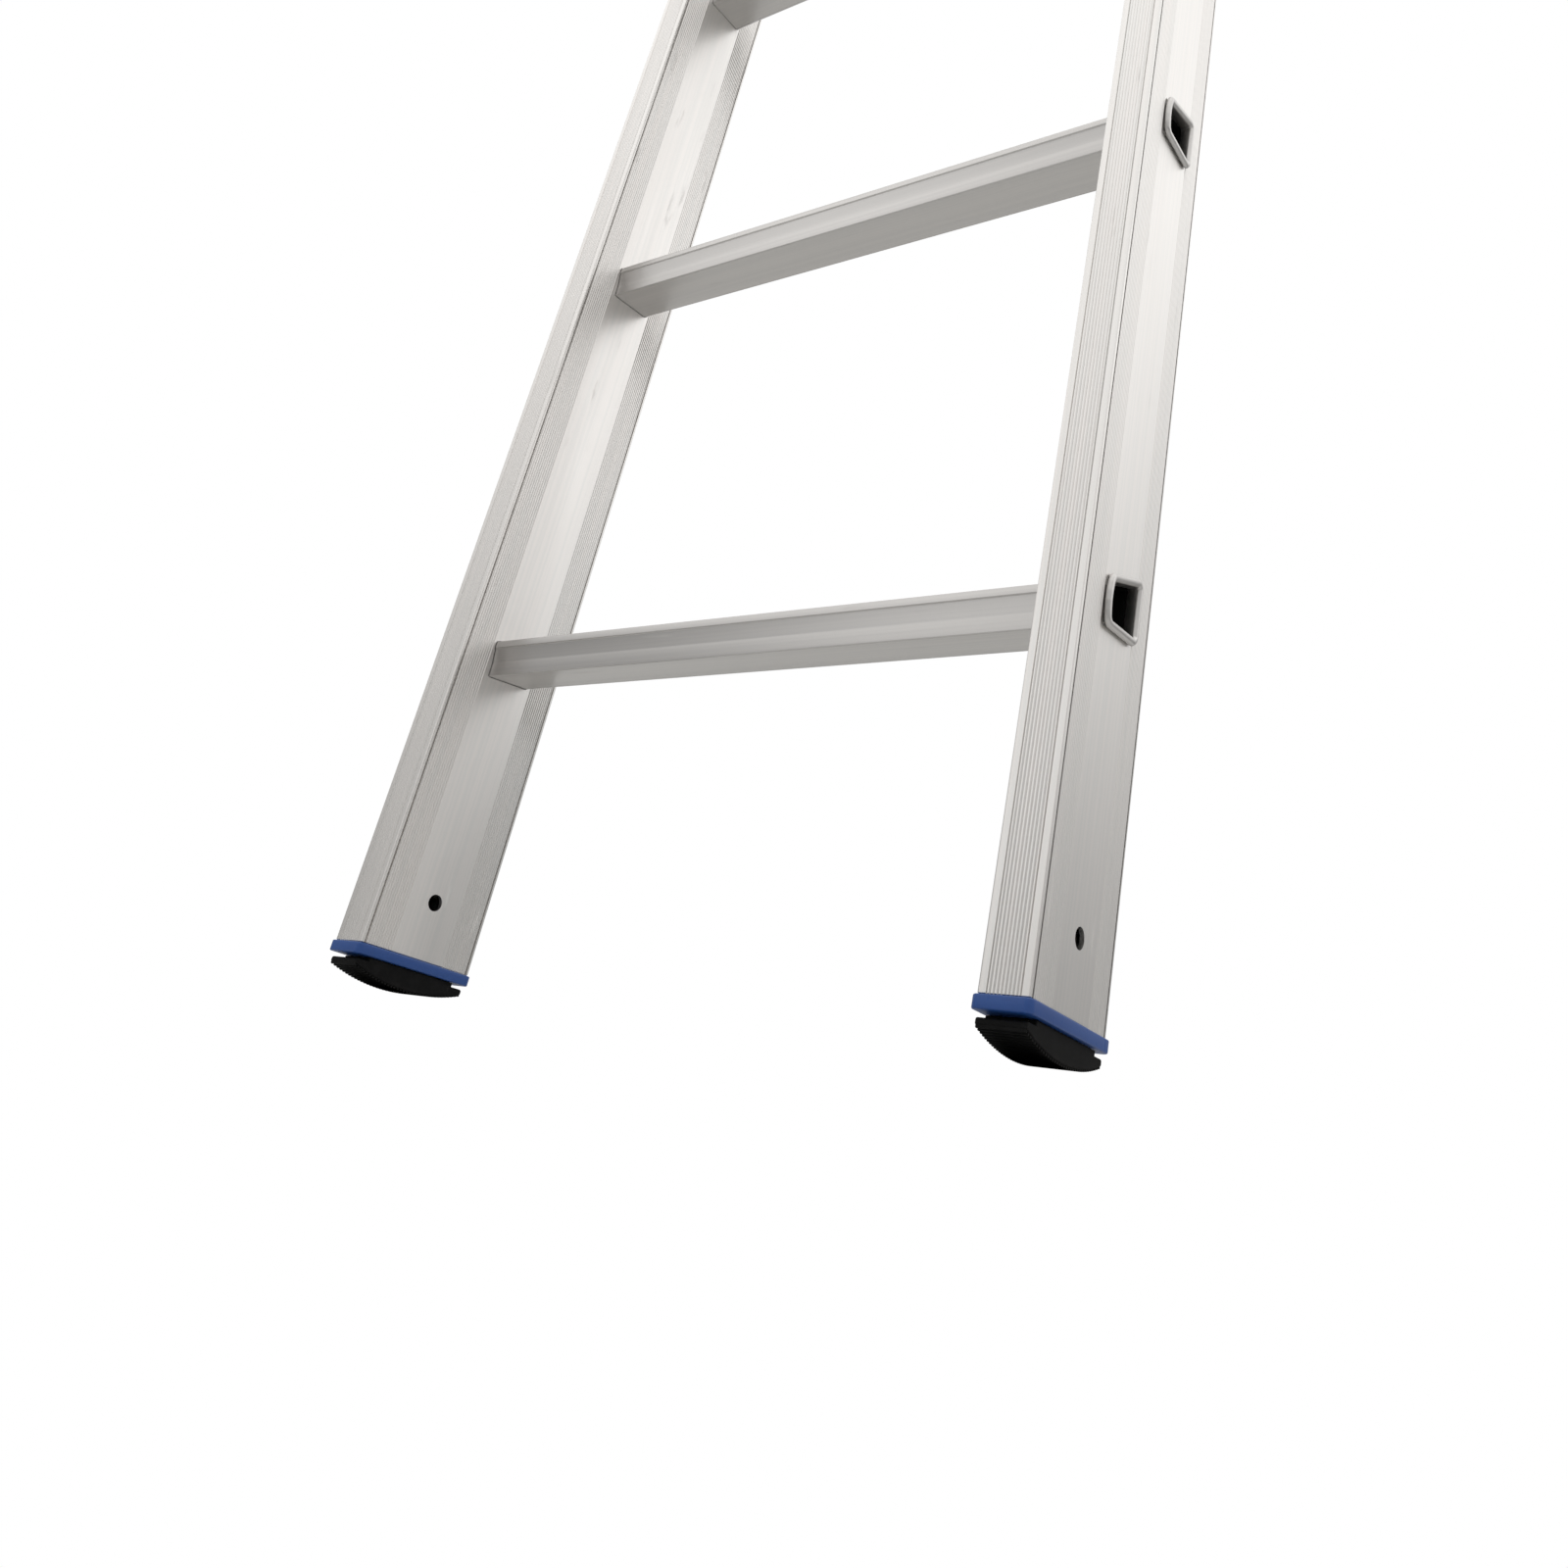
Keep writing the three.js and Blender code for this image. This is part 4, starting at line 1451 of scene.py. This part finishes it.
@dataclass
class BoltSet:
    """Dome-headed bolts through one section's guides."""

    section: Section
    palette: Palette
    head_radius: float = 7 * MM
    head_height: float = 3 * MM
    shank_radius: float = 4 * MM
    dome_steps: int = 8

    def nodes(self) -> list[str]:
        """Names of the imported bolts."""
        return [f"{self.section.value}_guide_bolt_{side.label}_{i}"
                for side in Side for i in (1, 2)]

    def build(self, rule: Rule) -> None:
        """Build the set.

        Args:
            rule: The tree that puts a bolt on each point.
        """
        boxes = [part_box(name) for name in self.nodes()]
        seats = []
        for low, high in boxes:
            outside = max(abs(low[0]), abs(high[0])) - self.head_height
            sign = 1.0 if high[0] > 0 else -1.0
            seats.append((sign * outside, (low[1] + high[1]) / 2, (low[2] + high[2]) / 2))
        steps = [(0.0, -9 * MM), (self.shank_radius, -9 * MM), (self.shank_radius, 0.0),
                 (0.95 * self.head_radius, 0.0), (self.head_radius, 0.25 * self.head_height)]
        for k in range(1, self.dome_steps + 1):
            angle = math.pi / 2 * k / self.dome_steps
            steps.append((self.head_radius * math.cos(angle),
                          self.head_height * (0.25 + 0.75 * math.sin(angle))))
        bolt = turned_solid("bolt", steps, (0.0, 0.0), 1.0, self.palette.zinc)
        smooth_shade(bolt)
        piece = new_piece(f"{self.section.value}_guide_bolts", seats, [], None)
        rule.apply(piece, Bolt=bolt, Material=self.palette.zinc)
        bpy.data.objects.remove(bolt)
        report(piece, self.section.value, self.nodes())


@dataclass
class HookPivot:
    """Domed pivot pin of one rung hook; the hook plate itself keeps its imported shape."""

    side: Side
    palette: Palette
    head_radius: float = 9 * MM
    head_height: float = 3.5 * MM
    shank_radius: float = 5 * MM
    shoulder_radius: float = 8 * MM
    nut_radius: float = 6.5 * MM
    nut_height: float = 5 * MM
    gap: float = 0.3 * MM

    def build(self) -> None:
        """Build the pin and dress the hook."""
        node = f"hook_pin_{self.side.label}"
        hook = f"rung_hook_{self.side.label}"
        low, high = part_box(node)
        inner = min(abs(low[0]), abs(high[0]))
        outer = max(abs(low[0]), abs(high[0]))
        plate = sorted(abs(corner[0]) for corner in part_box(hook))
        seat = inner + self.head_height
        steps = [(0.0, inner)]
        for k in range(1, 8):
            angle = math.pi / 2 * k / 7
            steps.append((self.head_radius * math.sin(angle),
                          inner + 0.75 * self.head_height * (1 - math.cos(angle))))
        steps += [
            (self.head_radius, seat), (self.shank_radius, seat),
            (self.shank_radius, plate[1] + self.gap),
            (self.shoulder_radius, plate[1] + self.gap),
            (self.shoulder_radius, plate[1] + 7 * self.gap),
            (self.shank_radius, plate[1] + 7 * self.gap),
            (self.shank_radius, outer - self.nut_height),
            (self.nut_radius, outer - self.nut_height),
            (self.nut_radius, outer), (0.0, outer),
        ]
        centre = ((low[1] + high[1]) / 2, (low[2] + high[2]) / 2)
        piece = turned_solid(f"{node}_turned", steps, centre, self.side.value, self.palette.zinc)
        smooth_shade(piece)
        report(piece, Section.FLY.value, [node])
        plate_object = bpy.data.objects[hook]
        plate_object.data.materials.clear()
        plate_object.data.materials.append(self.palette.zinc)
        log.info("%s: dressed as packed", hook)


# ---- studio ----------------------------------------------------------------------------------
@dataclass
class Studio:
    """Camera, soft light and a pale floor that is clear from below."""

    place: Sequence[float] = (0.3998, -0.4126, -0.0619)
    azimuth: float = 35.09
    elevation: float = 23.15
    roll: float = 11.19
    lens: float = 28.95
    shift: Point = (-0.0625, -0.075)
    floor_size: float = 14.0
    low_light: float = 0.17
    light_rise: float = 1.35

    def camera(self) -> None:
        """Place the camera low by the right foot, looking up the ladder."""
        data = bpy.data.cameras.new("camera")
        data.sensor_width = 36.0
        data.lens = self.lens
        data.shift_x, data.shift_y = self.shift
        data.clip_start, data.clip_end = 0.01, 100.0
        camera = bpy.data.objects.new("camera", data)
        azimuth, elevation = math.radians(self.azimuth), math.radians(self.elevation)
        aim = Vector((-math.sin(azimuth) * math.cos(elevation),
                      math.cos(azimuth) * math.cos(elevation), math.sin(elevation)))
        camera.rotation_mode = "QUATERNION"
        turn = Quaternion((0.0, 0.0, 1.0), math.radians(self.roll))
        camera.rotation_quaternion = aim.to_track_quat("-Z", "Y") @ turn
        camera.location = self.place
        bpy.context.collection.objects.link(camera)
        bpy.context.scene.camera = camera

    def world(self) -> None:
        """White surround that lights the metal brighter from above than from the horizon."""
        world = bpy.data.worlds.new("surround")
        world.use_nodes = True
        bpy.context.scene.world = world
        graph = Graph(world.node_tree)
        world.node_tree.nodes.clear()
        direction = graph.node("ShaderNodeTexCoord", output="Generated")
        height = graph.node("ShaderNodeSeparateXYZ", {}, {"Vector": direction}, "Z")
        level = self.low_light + self.light_rise * height.positive()
        lit = graph.node("ShaderNodeBackground", {}, {
            "Color": (1.0, 0.992, 0.98, 1.0), "Strength": level})
        plain = graph.node("ShaderNodeBackground", {}, {"Color": (1.0, 1.0, 1.0, 1.0)})
        seen = graph.node("ShaderNodeLightPath", output="Is Camera Ray")
        both = graph.node("ShaderNodeMixShader", {}, {0: seen, 1: lit, 2: plain})
        graph.raw("ShaderNodeOutputWorld", {}, {"Surface": both})

    def floor(self) -> None:
        """Pale matt floor, seen only from above."""
        half = self.floor_size / 2
        corners = [(-half, -half, 0.0), (half, -half, 0.0), (half, half, 0.0), (-half, half, 0.0)]
        material = bpy.data.materials.new("pale_floor")
        material.use_nodes = True
        graph = Graph(material.node_tree)
        material.node_tree.nodes.clear()
        pale = graph.node("ShaderNodeBsdfDiffuse", {}, {"Color": (0.62, 0.62, 0.61, 1.0)})
        clear = graph.node("ShaderNodeBsdfTransparent")
        under = graph.node("ShaderNodeNewGeometry", output="Backfacing")
        both = graph.node("ShaderNodeMixShader", {}, {0: under, 1: pale, 2: clear})
        graph.raw("ShaderNodeOutputMaterial", {}, {"Surface": both})
        mesh = bpy.data.meshes.new("floor")
        mesh.from_pydata(corners, [], [(0, 1, 2, 3)])
        mesh.materials.append(material)
        floor = bpy.data.objects.new("floor", mesh)
        bpy.context.collection.objects.link(floor)

    def softbox(self, name: str, place: Sequence[float], target: Sequence[float], size: float,
                power: float) -> None:
        """Add a square area light.

        Args:
            name: The light's name.
            place: Its position.
            target: Where it points.
            size: Side of the square.
            power: Watts.
        """
        data = bpy.data.lights.new(name, "AREA")
        data.size = size
        data.energy = power
        light = bpy.data.objects.new(name, data)
        light.location = place
        aim = Vector(target) - Vector(place)
        light.rotation_mode = "QUATERNION"
        light.rotation_quaternion = aim.to_track_quat("-Z", "Y")
        bpy.context.collection.objects.link(light)

    def build(self) -> None:
        """Set up the whole studio."""
        self.camera()
        self.world()
        self.floor()
        self.softbox("front_softbox", (-1.4, -3.0, 0.9), (0.1, 0.0, 0.3), 1.3, 3.5)
        self.softbox("left_softbox", (-2.2, -2.4, 2.6), (0.0, 0.0, 1.2), 2.0, 5.0)
        self.softbox("right_softbox", (2.6, 1.9, 2.3), (0.0, 0.0, 0.6), 2.0, 7.0)
        bpy.context.scene.view_settings.view_transform = "Standard"
        log.info("studio ready")


def main() -> None:
    """Build the studio and then the ladder, section by section."""
    logging.basicConfig(level=logging.INFO, format="%(name)s: %(message)s")
    Studio().build()
    palette = make_palette()
    slots, rows = make_slot_rule(), make_row_rule()
    teeth, bolts = make_tooth_rule(), make_bolt_rule()
    for section in Section:
        rungs = RungRow(section, palette)
        rungs.build(rows)
        for side in Side:
            Stile(section, side, palette).build(rungs, slots)
            SlideGuide(section, side, palette).build()
        BoltSet(section, palette).build(bolts)
    for side in Side:
        foot = Foot(side, palette)
        foot.build_collar()
        foot.build_plug()
        foot.build_sole(teeth)
        EndCap(f"base_top_cap_{side.label}", Section.BASE, Slot.BLACK, 5 * MM, True,
               palette.black).build()
        EndCap(f"fly_bottom_cap_{side.label}", Section.FLY, Slot.BLACK, 5 * MM, False,
               palette.black).build()
        EndCap(f"fly_top_cap_{side.label}", Section.FLY, Slot.BLUE, 14 * MM, True,
               palette.blue).build()
        HookPivot(side, palette).build()


if __name__ == "__main__":
    main()
